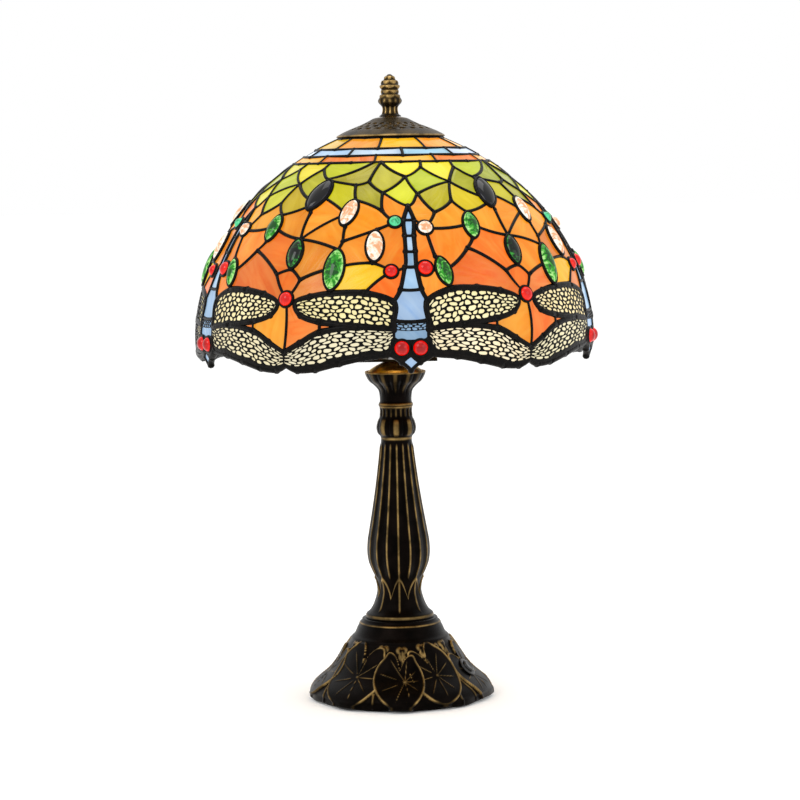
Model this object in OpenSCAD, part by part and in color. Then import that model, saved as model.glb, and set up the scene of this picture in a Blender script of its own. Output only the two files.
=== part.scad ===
// Leaded glass table lamp: a dragonfly shade hung on a harp over a cast lily-pad base.
// Millimetres, +Z up, origin at the middle of the felt under the base, the front is -Y.
// A point on the shade is [angle, drop]: degrees round the axis from a dragonfly's middle line,
// and millimetres down the dome from its top edge.

/* [Shade] */
// Number of dragonflies, each with one repeat of the pattern
repeats = 5; // [5:5]
// How far the middle dragonfly is turned to the right of the front
shade_turn = 4.5; // [-36:0.5:36]
// Half the width of a soldered seam
seam_half = 1.1; // [0.9:0.1:1.3]
// Thickness of the glass
glass_t = 3; // [2:0.5:4]
// How far solder stands proud of the glass on both faces
solder_h = 0.8; // [0.5:0.1:1]
// Gap left round each pane
pane_gap = 0.15; // [0.1:0.05:0.3]

/* [Base] */
// Radius of the foot
foot_r = 70; // [68:1:75]
// Wall of the hollow casting
cast_wall = 4; // [3:0.5:4.5]
// Radius of the felt pad
felt_r = 63; // [55:1:63]

/* [Hardware] */
// Radius of the threaded rod
rod_r = 4.9; // [4.5:0.1:5]
// Radius of the harp's wire
harp_wire = 2.4; // [2:0.1:2.5]
// Widest half span of the harp
harp_half = 43; // [40:1:50]
// Radius of the bulb's glass
bulb_r = 30; // [25:1:32]
// Travel of the switch button
button_travel = 2; // [1:0.5:2.5]

/* [Hidden] */

bronze = "#3a2a1c";
brass = "#b08d3e";
steel = "#8d8f92";
solder = "#1d1815";
fine = 96;

// Heights of the stack, from the felt up
web_z = 58;          // underside of the web at the top of the base casting
column_z = 62;       // foot of the column
cup_z = 226;         // joint between the column and the cup
cover_z = 251;       // seat of the domed cover in the cup
saddle_z = 260;
nut_z = 262;
socket_z = 266;
shell_z = 284;
bulb_z = 293.6;      // tip of the bulb's contact
post_x = 28.5;
leg_z = 272;
loop_z = 296;
harp_mid_z = 370;
harp_top_z = 433;
stud_z = 436;
hub_z = 438.3;
cap_z = 445;
finial_z = 446.7;
rod_foot = 40;
block_z = 274;       // foot of the porcelain block
screw_z = 280;       // terminal screws
ring_z = 426.6;      // foot of the ring the shade hangs from

// ---- dome: one cubic curve from the top edge to the rim -------------------------------------
crown = [38, 431];
shoulder = [135.4, 391.7];
flank = [160, 300.8];
rim = [149.5, 262];
curve_steps = 72;

function curve_at(t) =
  pow(1 - t, 3) * crown + 3 * t * pow(1 - t, 2) * shoulder
  + 3 * t * t * (1 - t) * flank + pow(t, 3) * rim;
curve = [for (i = [0:curve_steps]) curve_at(i / curve_steps)];
function drop_to(i) = i == 0 ? 0 : drop_to(i - 1) + norm(curve[i] - curve[i - 1]);
radius_by_drop = [for (i = [0:curve_steps]) [drop_to(i), curve[i][0]]];
height_by_drop = [for (i = [0:curve_steps]) [drop_to(i), curve[i][1]]];
function radius_at(s) = lookup(s, radius_by_drop);
function height_at(s) = lookup(s, height_by_drop);
last_drop = drop_to(curve_steps) - 1;
function slope_at(s) =
  let (lo = max(0, s - 1.5), hi = min(last_drop, s + 1.5))
  let (d = [radius_at(hi) - radius_at(lo), height_at(hi) - height_at(lo)]) d / norm(d);
function turned(u) = let (a = u + shade_turn) a - 360 * floor(a / 360);

// The point at angle u and drop s, h above the glass's outer face
function on_dome(u, s, h) =
  let (d = slope_at(s), a = turned(u), r = radius_at(s) - h * d[1])
  [r * sin(a), -r * cos(a), height_at(s) + h * d[0]];

// Moves its children to a point of the dome, with +Z out of the glass and +Y up the dome
module at_dome(u, s, h = 0) {
  d = slope_at(s);
  a = turned(u);
  x = [cos(a), sin(a), 0];
  n = [-d[1] * sin(a), d[1] * cos(a), d[0]];
  y = cross(n, x);
  p = on_dome(u, s, h);
  multmatrix([[x[0], y[0], n[0], p[0]], [x[1], y[1], n[1], p[1]], [x[2], y[2], n[2], p[2]]])
    children();
}

// ---- pattern: junctions of one repeat -------------------------------------------------------
function mirrored(p) = [-p[0], p[1]];
function next(p) = [p[0] + 360 / repeats, p[1]];

// rings of the border
k1 = [-33, 2];    k2 = [-14, 2];    k3 = [3, 2];    k4 = [22, 2];
l1 = [-33, 21.5]; l2 = [-14, 21.5]; l3 = [3, 21.5]; l4 = [22, 21.5];
m1 = [-33, 32];   m2 = [-14, 32];   m3 = [3, 32];   m4 = [22, 32];
n1 = [-27.5, 41.5]; n2 = [-14, 41.5]; n3 = [-10, 41.5]; n4 = [1, 41.5];
n5 = [12, 41.5];    n6 = [22, 41.5];  n7 = [31, 41.5];
// canopy of leaves
g1 = [-35, 61.5];  g2 = [-20, 68.5];  g3 = [-14.5, 65]; g4 = [-8, 77];     g5 = [2, 60];
g6 = [11, 49];     g7 = [22, 66.5];   g8 = [6, 78.5];   g9 = [30, 49.5];   g10 = [-18.5, 84];
g12 = [-8, 94.5];  g14 = [11, 96.5];  g15 = [19, 86];
// long axes of the oval jewels
a2 = [-34.5, 79];  a3 = [-35, 86];    a4 = [-35.5, 95.5];
b2 = [-21, 97];    b3 = [-20.5, 108.5];
c1 = [-9.5, 111];  c3 = [-10.5, 138];
d1 = [23.5, 97];   d2 = [23, 107.5];  d3 = [22, 120.5];
e1 = [36.5, 118.5]; e3 = [36, 142.5];
f0 = [-20.5, 120.5]; f1 = [-21.5, 127.5]; f2 = [-22.5, 142]; f3 = [-22.5, 160.5];
h1 = [8.5, 134];   h2 = [11, 145];    h3 = [12, 158.5];
// round jewels
q1 = [-3.5, 105];  q2 = [6.5, 110.5]; q3 = [-5, 145];   q4 = [5, 143];     q5 = [36, 165];
// field
o1 = [-32.5, 150.5]; o2 = [31, 146.5]; o3 = [19.5, 127.5];
// tail and body, right then left
t0 = [1.5, 90];
r1 = [3, 103];     r2 = [2.5, 116.5]; r3 = [2.5, 129.5]; r4 = [2.5, 141.5]; r5 = [3.5, 158.5];
r6 = [5, 167];     r7 = [5, 181];     r8 = [5, 187.5];   r9 = [5, 195];
s1 = [-0.5, 103];  s2 = [-0.5, 116.5]; s3 = [-0.5, 129.5]; s4 = [-1, 141.5]; s5 = [-2.5, 158.5];
s6 = [-4.5, 167.5]; s7 = [-4.5, 181]; s8 = [-4.5, 187.5]; s9 = [-4.5, 195];
// wings, right; the left wings mirror them apart from where the seams of the field meet them
w2 = [20, 158.5];  w3 = [27.5, 161.5]; w4 = [33, 167.5]; w5 = [31, 176.5]; w6 = [25, 181.5];
w7 = [25, 188.5];  w8 = [31, 196.5];   w9 = [14.5, 185];
x2 = [-12.5, 160.5]; x3 = [-28.5, 163];
x4 = mirrored(w4); x5 = mirrored(w5);  x6 = mirrored(w6); x7 = mirrored(w7);
x8 = mirrored(w8); x9 = mirrored(w9);
// rim, and the seam between two dragonflies
v1 = [36, 203.5];  v2 = [36, 212.5];
y1 = [32.5, 216.5]; y2 = [27, 215.5];  y3 = [20, 211];    y4 = [13, 207];    y5 = [6.5, 204.5];
z1 = mirrored(y1); z2 = mirrored(y2);  z3 = mirrored(y3); z4 = mirrored(y4); z5 = mirrored(y5);
p1 = [0, 205.5];   p2 = [2.5, 211];    p3 = [0, 217];     p4 = [-2.5, 211];

// Panes, each a loop of junctions that runs clockwise seen from outside
top_border = [[k2, k3, k4, l4, l3, l2], [k4, next(k1), next(k2), next(l2), next(l1), l4]];
blue_border = [[l1, l2, l3, m3, m2, m1], [l3, l4, next(l1), next(m1), m4, m3]];
lower_border = [
  [m2, m3, m4, n6, n5, n4, n3, n2], [m4, next(m1), next(m2), next(n2), next(n1), n7, n6]
];
canopy = [
  [n7, next(n1), next(n2), next(g1), g9], [g1, n2, n3, g3, g2], [n3, g5, g4, g3], [n3, n4, n5, g6, g5],
  [g4, g5, g8, t0], [g6, g7, g8, g5], [n5, n6, n7, g9, g7, g6], [g9, next(g1), next(a2), next(a3), g7],
  [g8, g7, g15, g14], [g7, next(a3), d1, g15], [g1, g2, g10, b2, a2], [g2, g3, g4, g12, g10]
];
field = [
  [next(a2), next(b2), e1, next(a4), next(a3)], [next(b2), next(b3), next(f0), next(f1), e1],
  [g10, g12, q1, c1, f0, b3, b2], [e1, next(f1), next(f2), next(o1), e3],
  [next(o1), next(f2), next(f3), next(x3), next(x4), q5], [e3, next(o1), q5, o2],
  [o3, o2, q5, w4, w3, w2, h3, h2], [d3, d2, e1, e3, o2, o3], [d1, next(a3), next(a4), e1, d2],
  [q2, d2, d3, o3, h2, h1], [g15, d1, d2, q2, g14], [g8, g14, q2, r1, t0],
  [r1, q2, h1, h2, q4, r4, r3, r2], [r4, q4, h2, h3, r6, r5], [g4, t0, s1, q1, g12],
  [q1, s1, s2, s3, s4, q3, c3, c1], [f0, c1, c3, f2, f1], [f2, c3, q3, x2, f3], [q3, s4, s5, s6, x2]
];
cove = [
  [q5, v1, w8, w7, w6, w5, w4], [w9, w6, w7], [x9, x7, x6],
  [q5, next(x4), next(x5), next(x6), next(x7), next(x8), v1]
];
upper_wings = [[r6, h3, w2, w3, w4, w5, w6, w9, r8, r7], [s6, s7, s8, x9, x6, x5, x4, x3, f3, x2]];
lower_wings = [
  [r8, w9, w7, w8, v1, v2, y1, y2, y3, y4, y5, r9],
  [next(s8), next(s9), next(z5), next(z4), next(z3), next(z2), next(z1),
   v2, v1, next(x8), next(x7), next(x9)]
];
tail = [[t0, r1, s1], [s1, r1, r2, s2], [s2, r2, r3, s3], [s3, r3, r4, s4], [s4, r4, r5, s5]];
thorax = [[s5, r5, r6, r7, s7, s6], [s7, r7, r8, r9, s9, s8]];
nose = [[p1, p2, p3, p4]];
head = [[s9, r9, y5, p2, p1, p4, z5]];
open_loops = concat(top_border, blue_border, lower_border, canopy, field, cove,
                    upper_wings, lower_wings, tail, thorax, nose);
// Edges with nothing beyond them: the top ring and the rim
top_edge = [[k2, k3], [k3, k4], [k4, next(k1)], [next(k1), next(k2)]];
rim_run = [v2, y1, y2, y3, y4, y5, p2, p3, p4, z5, z4, z3, z2, z1, [v2[0] - 360 / repeats, v2[1]]];
rim_edge = [for (i = [0:len(rim_run) - 2]) [rim_run[i], rim_run[i + 1]]];

// ---- panes and came as thin solids on the dome ----------------------------------------------
mm_per_degree = PI / 180;
function mean(loop, i = 0) = i == len(loop) ? [0, 0] : loop[i] / len(loop) + mean(loop, i + 1);
function flat(p, c) = [(p[0] - c[0]) * mm_per_degree * radius_at(p[1]), p[1] - c[1]];
function curved(q, c) = let (s = q[1] + c[1]) [c[0] + q[0] / (mm_per_degree * radius_at(s)), s];
function unit(v) = v / norm(v);
function left_of(v) = [-v[1], v[0]];
miter_floor = 0.3;   // keeps the corner of a sharp sliver from running across it

// The loop moved inwards by w millimetres
function inset(loop, w) =
  let (c = mean(loop), q = [for (p = loop) flat(p, c)], n = len(loop))
  [for (i = [0:n - 1])
    let (before = left_of(unit(q[i] - q[(i + n - 1) % n])),
         after = left_of(unit(q[(i + 1) % n] - q[i])))
    curved(q[i] + w * (before + after) / max(miter_floor, 1 + before * after), c)];

function shifted(loop, k) = [for (p = loop) [p[0] + k * 360 / repeats, p[1]]];

module pane(loop, outer, thick) {
  n = len(loop);
  c = mean(loop);
  points = concat([for (p = loop) on_dome(p[0], p[1], outer)],
                  [for (p = loop) on_dome(p[0], p[1], outer - thick)],
                  [on_dome(c[0], c[1], outer), on_dome(c[0], c[1], outer - thick)]);
  faces = [for (i = [0:n - 1]) let (j = (i + 1) % n)
    each [[i, j, 2 * n], [j + n, i + n, 2 * n + 1], [j, i, i + n], [j, i + n, j + n]]];
  polyhedron(points, faces);
}

module panes(loops, tint) {
  color(tint)
    for (k = [0:repeats - 1]) for (loop = loops)
      pane(shifted(inset(loop, seam_half + pane_gap), k), 0, glass_t);
}

// The solder lattice is one closed skin: a frame round every pane, on both faces of the glass
out_h = solder_h;
in_h = -glass_t - solder_h;
function frame_skin(loop) =
  let (n = len(loop), hole = inset(loop, seam_half))
  [for (i = [0:n - 1]) let (j = (i + 1) % n, a = loop[i], b = loop[j], c = hole[j], d = hole[i])
    each [[[a, out_h], [b, out_h], [c, out_h]], [[a, out_h], [c, out_h], [d, out_h]],
          [[b, in_h], [a, in_h], [c, in_h]], [[a, in_h], [d, in_h], [c, in_h]],
          [[d, out_h], [c, out_h], [c, in_h]], [[d, out_h], [c, in_h], [d, in_h]]]];
function plate_skin(loop) =
  let (n = len(loop), c = mean(loop))
  [for (i = [0:n - 1]) let (a = loop[i], b = loop[(i + 1) % n])
    each [[[a, out_h], [b, out_h], [c, out_h]], [[b, in_h], [a, in_h], [c, in_h]]]];
function wall_skin(edge) =
  let (a = edge[0], b = edge[1])
  [[[b, out_h], [a, out_h], [a, in_h]], [[b, out_h], [a, in_h], [b, in_h]]];

module lead_came() {
  skin = concat([for (loop = open_loops) each frame_skin(loop)],
                [for (loop = head) each plate_skin(loop)],
                [for (e = concat(top_edge, rim_edge)) each wall_skin(e)]);
  points = [for (k = [0:repeats - 1]) for (tri = skin) for (v = tri)
    on_dome(v[0][0] + k * 360 / repeats, v[0][1], v[1])];
  color(solder)
    polyhedron(points, [for (i = [0:len(skin) * repeats - 1]) [3 * i, 3 * i + 1, 3 * i + 2]]);
}

module wing_filigree() {
  plate_t = 0.6;
  edge_in = 0.8;
  color(solder)
    for (k = [0:repeats - 1]) for (loop = concat(upper_wings, lower_wings))
      pane(shifted(inset(loop, edge_in), k), solder_h + 0.1 + plate_t, plate_t);
}

// ---- jewels ---------------------------------------------------------------------------------
jewel_seat = solder_h + 0.15;
dome_share = 0.75;  // height of a round jewel over its radius

module round_jewel(r) {
  rotate_extrude($fn = 48)
    polygon(concat([[0, 0]], [for (a = [0:18:90]) [r * cos(a), r * dome_share * sin(a)]]));
}

// Half an ellipsoid on a flat back, half_w across and half_l along the dome
module oval_jewel(half_w, half_l, high) {
  sides = 12;
  rings = [0, 32, 62];
  points = concat([for (b = rings) for (i = [0:sides - 1])
      [half_w * cos(b) * cos(360 * i / sides), half_l * cos(b) * sin(360 * i / sides), high * sin(b)]],
    [[0, 0, high], [0, 0, 0]]);
  top = len(rings) * sides;
  faces = [for (i = [0:sides - 1]) let (j = (i + 1) % sides)
    each concat([[i, j, top + 1], [2 * sides + j, 2 * sides + i, top]],
      [for (b = [0:len(rings) - 2])
        each [[b * sides + j, b * sides + i, (b + 1) * sides + i],
              [b * sides + j, (b + 1) * sides + i, (b + 1) * sides + j]]])];
  polyhedron(points, faces);
}

module each_repeat() { for (k = [0:repeats - 1]) rotate([0, 0, k * 360 / repeats]) children(); }

module eye_jewels() {
  color("#b01010") each_repeat() {
    at_dome(-2.5, 200.5, jewel_seat) round_jewel(5.3);
    at_dome(2.5, 200.5, jewel_seat) round_jewel(5.3);
  }
}
module red_jewels() {
  color("#c81818") each_repeat() {
    at_dome(q3[0], q3[1], jewel_seat) round_jewel(4.4);
    at_dome(q4[0], q4[1], jewel_seat) round_jewel(5.2);
    at_dome(q5[0], q5[1], jewel_seat) round_jewel(5.2);
  }
}
module green_jewels() {
  color("#1f8a2a") each_repeat() {
    at_dome(q1[0], q1[1], jewel_seat) round_jewel(4.3);
    at_dome(23, 109, jewel_seat) rotate([0, 0, -4]) oval_jewel(5.6, 11, 4);
    at_dome(-22, 143, jewel_seat) rotate([0, 0, -5]) oval_jewel(7, 15.5, 4.5);
    at_dome(10.5, 145.5, jewel_seat) rotate([0, 0, 14]) oval_jewel(5, 10.8, 4);
  }
}
module pearl_jewels() {
  color("#f0cfa8") each_repeat() {
    at_dome(q2[0], q2[1], jewel_seat) round_jewel(5.2);
    at_dome(-20, 96, jewel_seat) rotate([0, 0, -14]) oval_jewel(5.4, 11.5, 4);
    at_dome(-10, 125, jewel_seat) oval_jewel(6, 12, 4);
  }
}
module dark_jewels() {
  color("#10162a") each_repeat() {
    at_dome(-34.5, 77.5, jewel_seat) oval_jewel(7.6, 15, 4);
    at_dome(36, 130.5, jewel_seat) oval_jewel(5.6, 11.5, 4);
  }
}

// ---- base -----------------------------------------------------------------------------------
base_outline = [
  [foot_r - 1, 0.4], [foot_r, 3], [foot_r - 0.5, 8], [66.5, 12], [62, 16], [56.5, 20.5], [51.5, 26],
  [47.8, 31.5], [44.5, 37], [41, 43], [38, 47.5], [34.5, 50], [33.5, 53], [33, 55.5], [31.5, 57.5],
  [31.3, 59.5], [29, 60.5], [28, 62]
];
switch_az = 70;
switch_z = 24;
switch_r = 53.3;
switch_rise = 42;    // how far the wall's normal points above level there
switch_well = 6;     // depth of the button's bore in its housing
switch_clear = 0.4;  // left under the button when it is pressed home
bushing_z = 11;
base_bore = rod_r + 0.3;

module tube(r_out, r_in, z, h) {
  translate([0, 0, z]) difference() {
    cylinder(r = r_out, h = h, $fn = fine);
    translate([0, 0, -1]) cylinder(r = r_in, h = h + 2, $fn = fine);
  }
}
module at_switch() {
  rotate([0, 0, switch_az - 90]) translate([switch_r, 0, switch_z])
    rotate([0, 90 - switch_rise, 0]) children();
}
module at_bushing() { translate([0, foot_r - 3, bushing_z]) rotate([-90, 0, 0]) children(); }

felt_t = 1.6;
module felt_pad() { color("#27421f") cylinder(r = felt_r, h = felt_t, $fn = fine); }
module bottom_plate() {
  color(steel) translate([0, 0, felt_t]) cylinder(r = felt_r + 0.5, h = 2.5, $fn = fine);
}

module base_casting() {
  web_t = 4;
  web_r = 26;
  inner = [for (i = [len(base_outline) - 5:-1:0]) [base_outline[i][0] - cast_wall, base_outline[i][1]]];
  color(bronze) difference() {
    rotate_extrude($fn = fine) polygon(concat(
      base_outline, [[base_bore, column_z], [base_bore, web_z - web_t], [web_r, web_z - web_t]],
      [for (p = inner) if (p[1] < web_z - web_t - 1) p]));
    at_switch() translate([0, 0, -12]) cylinder(r = 6.5, h = 20, $fn = fine);
    at_bushing() translate([0, 0, -8]) cylinder(r = 5, h = 20, $fn = fine);
  }
}
module cord_bushing() {
  color("#151515") at_bushing() difference() {
    union() {
      translate([0, 0, -6]) cylinder(r = 4.9, h = 9, $fn = fine);
      translate([0, 0, 2.8]) cylinder(r = 6.5, h = 1.2, $fn = fine);
    }
    translate([0, 0, -7]) cylinder(r = 3.6, h = 12, $fn = fine);
  }
}
module switch_housing() {
  color("#101010") at_switch() difference() {
    union() {
      translate([0, 0, -15]) cylinder(r = 6.3, h = 16, $fn = fine);
      translate([0, 0, 1]) cylinder(r = 7.8, h = 1.2, $fn = fine);
    }
    translate([0, 0, -switch_well]) cylinder(r = 5, h = switch_well + 4, $fn = fine);
  }
}
module switch_button() {
  button_r = 4.95;
  button_h = 6.6;
  color("#1a1a1a") at_switch() translate([0, 0, button_travel + switch_clear - switch_well]) {
    cylinder(r = button_r, h = button_h, $fn = fine);
    translate([0, 0, button_h]) cylinder(r1 = button_r, r2 = button_r - 0.75, h = 0.8, $fn = fine);
  }
}
module hex_nut(across, bore, z, h) {
  translate([0, 0, z]) difference() {
    cylinder(r = across / 2 / cos(30), h = h, $fn = 6);
    translate([0, 0, -1]) cylinder(r = bore, h = h + 2, $fn = fine);
  }
}
module rod_washer() { color(steel) tube(11, rod_r + 0.2, web_z - 5.5, 1.5); }
module rod_nut() { color(steel) hex_nut(17, rod_r + 0.02, web_z - 12.5, 7); }
module lock_nut() { color(steel) hex_nut(17, rod_r + 0.02, nut_z, 4); }
module threaded_rod() { color(steel) tube(rod_r, 3.6, rod_foot, block_z - rod_foot); }

// ---- column ---------------------------------------------------------------------------------
column_outline = [
  [26.5, column_z], [25.5, 64.5], [22.5, 67], [19.5, 70.5], [17.5, 75], [16.1, 82], [16.6, 89],
  [19.2, 97], [22.3, 105], [23.4, 113], [23, 121.5], [21.6, 130], [19, 145], [16.6, 160],
  [14.4, 176], [12.7, 190], [12, 199], [12.6, 203], [14.6, 207], [15, 210], [13.9, 214.5],
  [12.5, 218.5], [12.2, 223], [12.8, cup_z]
];
cup_outline = [
  [12.8, cup_z], [12.3, 229], [12.5, 234], [13.4, 238.5], [16.5, 242], [20.5, 245.3], [22.6, 249],
  [23.5, 252.6]
];
column_bore = rod_r + 1.2;

module column_casting() {
  color(bronze) rotate_extrude($fn = fine)
    polygon(concat([[column_bore, column_z]], column_outline, [[column_bore, cup_z]]));
}
module cup_casting() {
  color(bronze) rotate_extrude($fn = fine)
    polygon(concat([[base_bore, cup_z]], cup_outline,
                   [[22, 252.6], [21.6, cover_z], [base_bore, cover_z]]));
}
module cup_cover() {
  color(brass) rotate_extrude($fn = fine) polygon([
    [21.2, cover_z], [21.2, cover_z + 1.4], [17, cover_z + 4.4], [12, cover_z + 7.2], [8.5, saddle_z],
    [rod_r + 0.2, saddle_z], [rod_r + 0.2, saddle_z - 1.6], [8, saddle_z - 1.7], [11.3, cover_z + 5.6],
    [16, cover_z + 3], [19.6, cover_z]]);
}

// ---- harp -----------------------------------------------------------------------------------
module harp_saddle() {
  color(bronze) difference() {
    union() {
      translate([-post_x - 4, -6, saddle_z]) cube([2 * post_x + 8, 12, 2]);
      for (x = [-post_x, post_x]) translate([x, 0, saddle_z])
        cylinder(r = harp_wire, h = leg_z - saddle_z, $fn = fine);
    }
    translate([0, 0, saddle_z - 1]) cylinder(r = rod_r + 0.2, h = 4, $fn = fine);
  }
}

loop_sides = 10;
function smooth(t) = t * t * (3 - 2 * t);
// Half the loop: a straight leg, then up with a swelling curve, then a quarter ellipse to the top
leg_run = [for (i = [0:8]) let (t = i / 8)
  [post_x + (harp_half - post_x) * smooth(t), loop_z + (harp_mid_z - loop_z) * t]];
crown_run = [for (a = [10:10:80])
  [harp_half * cos(a), harp_mid_z + (harp_top_z - harp_mid_z) * sin(a)]];
half_run = concat([[post_x, leg_z]], leg_run, crown_run);
loop_run = concat(half_run, [[0, harp_top_z]],
                  [for (i = [len(half_run) - 1:-1:0]) [-half_run[i][0], half_run[i][1]]]);

module harp() {
  n = len(loop_run);
  points = [for (i = [0:n - 1])
    let (d = i == 0 ? [0, 1] : i == n - 1 ? [0, -1] : unit(loop_run[i + 1] - loop_run[i - 1]),
         side = [d[1], -d[0]])
    for (k = [0:loop_sides - 1]) let (a = 360 * k / loop_sides, q = harp_wire * cos(a) * side)
      [loop_run[i][0] + q[0], harp_wire * sin(a), loop_run[i][1] + q[1]]];
  faces = concat([[for (k = [0:loop_sides - 1]) k]],
    [for (i = [0:n - 2]) for (k = [0:loop_sides - 1]) let (j = (k + 1) % loop_sides)
      each [[i * loop_sides + j, i * loop_sides + k, (i + 1) * loop_sides + k],
            [i * loop_sides + j, (i + 1) * loop_sides + k, (i + 1) * loop_sides + j]]],
    [[for (k = [loop_sides - 1:-1:0]) (n - 1) * loop_sides + k]]);
  color(bronze) union() {
    polyhedron(points, faces);
    translate([0, 0, harp_top_z - 3]) cylinder(r = 6, h = stud_z - harp_top_z + 3, $fn = fine);
  }
}
module harp_stud() {
  color(brass) union() {
    translate([0, 0, stud_z]) cylinder(r = 8, h = 2, $fn = fine);
    translate([0, 0, stud_z]) cylinder(r = 3, h = 26, $fn = fine);
  }
}
module harp_sleeve(x) {
  color(brass) translate([x, 0, 0]) tube(4, harp_wire + 0.08, saddle_z + 2.05, 15);
}
module harp_sleeve_left() { harp_sleeve(-post_x); }
module harp_sleeve_right() { harp_sleeve(post_x); }

// ---- socket ---------------------------------------------------------------------------------
module socket_cap() {
  color(bronze) rotate_extrude($fn = fine) polygon([
    [rod_r + 0.02, socket_z], [12, socket_z], [17, socket_z + 4], [19.3, socket_z + 10],
    [19.6, shell_z], [18.4, shell_z], [18, socket_z + 11], [16, socket_z + 5.5],
    [11.5, socket_z + 1.8], [rod_r + 0.02, socket_z + 1.8]]);
}
module socket_shell() {
  color(bronze) rotate_extrude($fn = fine) polygon([
    [19.6, shell_z], [19.6, shell_z + 34], [20.6, shell_z + 36], [19.6, shell_z + 38],
    [18.6, shell_z + 38], [18.6, shell_z]]);
}
block_h = 18;
module socket_liner() { color("#7a6a52") tube(18.3, 17.5, shell_z + 1, 35); }
module socket_block() {
  color("#e6e2d8") difference() {
    translate([0, 0, block_z]) cylinder(r = 16, h = block_h, $fn = fine);
    for (x = [-1, 1]) translate([x * 18.2, 0, screw_z]) cube([9, 9, 7], center = true);
  }
}
module screw_shell() { color(brass) tube(14.4, 13.7, block_z + block_h, 25); }
module centre_contact() {
  color(brass) translate([0, 0, block_z + block_h]) cylinder(r = 4, h = 1.3, $fn = fine);
}
module terminal_screws() {
  color(brass) for (x = [-1, 1]) translate([x * 13.7, 0, screw_z])
    rotate([0, 90 * x, 0]) cylinder(r = 2.2, h = 2, $fn = 32);
}
// A wire down the rod at x, then out at the given height, away degrees round and reach long
module wire_run(x, z_low, away, reach) {
  wire_r = 1.1;
  translate([x, 0, z_low]) {
    cylinder(r = wire_r, h = block_z - z_low, $fn = 24);
    sphere(r = wire_r, $fn = 24);
    rotate([0, 0, away]) rotate([0, 90, 0]) cylinder(r = wire_r, h = reach, $fn = 24);
  }
}
module lead_wires() {
  color("#d8d2c4") {
    wire_run(-1.6, bushing_z, 90, 58);
    wire_run(1.6, bushing_z + 6, switch_az - 90, 34);
  }
}

// ---- bulb -----------------------------------------------------------------------------------
module bulb_tip() { color(steel) translate([0, 0, bulb_z]) cylinder(r = 3.6, h = 1.4, $fn = fine); }
module bulb_insulator() {
  color("#101010") translate([0, 0, bulb_z + 1.4]) cylinder(r1 = 5, r2 = 12, h = 3.6, $fn = fine);
}
module bulb_cap() {
  color("#c9c9c4") translate([0, 0, bulb_z + 5]) rotate_extrude($fn = fine)
    polygon([[0, 0], [12.6, 0], [13.2, 1], [13.2, 21], [13.8, 23], [12.4, 23], [12, 20], [0, 20]]);
}
module bulb_glass() {
  neck = bulb_z + 25;
  mid = bulb_z + 78;
  color("#fff6df") rotate_extrude($fn = fine) polygon(concat(
    [[0, neck], [11.6, neck], [11.8, neck + 4], [14.5, neck + 14], [19.5, neck + 25]],
    [for (a = [-38:8:90]) [bulb_r * cos(a), mid + bulb_r * sin(a)]], [[0, mid + bulb_r]]));
}

// ---- top of the shade -----------------------------------------------------------------------
module shade_spider() {
  ring_r = 37.8;
  arm = [31, 5, 2];
  arm_start = [7, -arm[1] / 2, hub_z + 1];
  arm_fall = 20;
  color(brass) difference() {
    union() {
      tube(ring_r, ring_r - 3.4, ring_z, 3.8);
      translate([0, 0, hub_z]) cylinder(r = 8, h = cap_z - hub_z, $fn = fine);
      for (a = [90, 210, 330]) rotate([0, 0, a]) translate(arm_start)
        rotate([0, arm_fall, 0]) cube(arm);
    }
    translate([0, 0, hub_z - 3]) cylinder(r = 3.6, h = 14, $fn = fine);
  }
}
module vase_cap() {
  holes = 18;
  first_row_r = 15;
  row_step = 4.2;
  color(bronze) difference() {
    rotate_extrude($fn = fine) polygon([
      [41.6, 431.4], [41, 432.6], [38.5, 433.8], [34.5, 435.8], [28.7, 438.2], [21.8, 440.9],
      [17.5, 443], [13, 445.6], [9.5, 446.5], [3.6, 446.5], [3.6, cap_z], [9, cap_z], [12.4, 444],
      [16.7, 441.6], [21.1, 439.4], [28.1, 436.7], [34, 434.3], [38, 432.2], [40.4, 431.4]]);
    for (row = [0:2]) for (i = [0:holes - 1])
      rotate([0, 0, (i + row / 2) * 360 / holes]) translate([first_row_r + row * row_step, 0, 430])
        cylinder(r = 0.9 + row * 0.15, h = 20, $fn = 24);
  }
}
module finial() {
  color(bronze) difference() {
    rotate_extrude($fn = fine) polygon([
      [0, finial_z], [8, finial_z], [6.6, 448.6], [5.8, 451], [5.8, 453.5], [7, 455.5],
      [8.6, 457.5], [8.8, 459.5], [7.6, 462], [6.4, 464.5], [6.2, 467], [7.2, 469.4], [6.2, 472],
      [4.6, 474.8], [2.8, 477.4], [0, 479]]);
    translate([0, 0, finial_z - 1]) cylinder(r = 3.05, h = 17.5, $fn = fine);
  }
}

felt_pad();
bottom_plate();
base_casting();
cord_bushing();
switch_housing();
switch_button();
rod_washer();
rod_nut();
threaded_rod();
column_casting();
cup_casting();
cup_cover();
harp_saddle();
lock_nut();
harp();
harp_stud();
harp_sleeve_left();
harp_sleeve_right();
socket_cap();
socket_shell();
socket_liner();
socket_block();
screw_shell();
centre_contact();
terminal_screws();
lead_wires();
bulb_glass();
bulb_cap();
bulb_insulator();
bulb_tip();
shade_spider();
vase_cap();
finial();
lead_came();
panes(top_border, "#f0a020");  // top_border_panes
panes(blue_border, "#cfe4f5");  // blue_border_panes
panes(lower_border, "#f0982c");  // lower_border_panes
panes(canopy, "#d6d41c");  // canopy_panes
panes(field, "#ee8a22");  // field_panes
panes(cove, "#f29a3a");  // cove_panes
panes(upper_wings, "#f3ecd0");  // upper_wing_panes
panes(lower_wings, "#f3ecd0");  // lower_wing_panes
wing_filigree();
panes(tail, "#a9cbea");  // tail_panes
panes(thorax, "#a9cbea");  // thorax_panes
panes(nose, "#b6d0ea");  // nose_panes
eye_jewels();
red_jewels();
green_jewels();
pearl_jewels();
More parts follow.
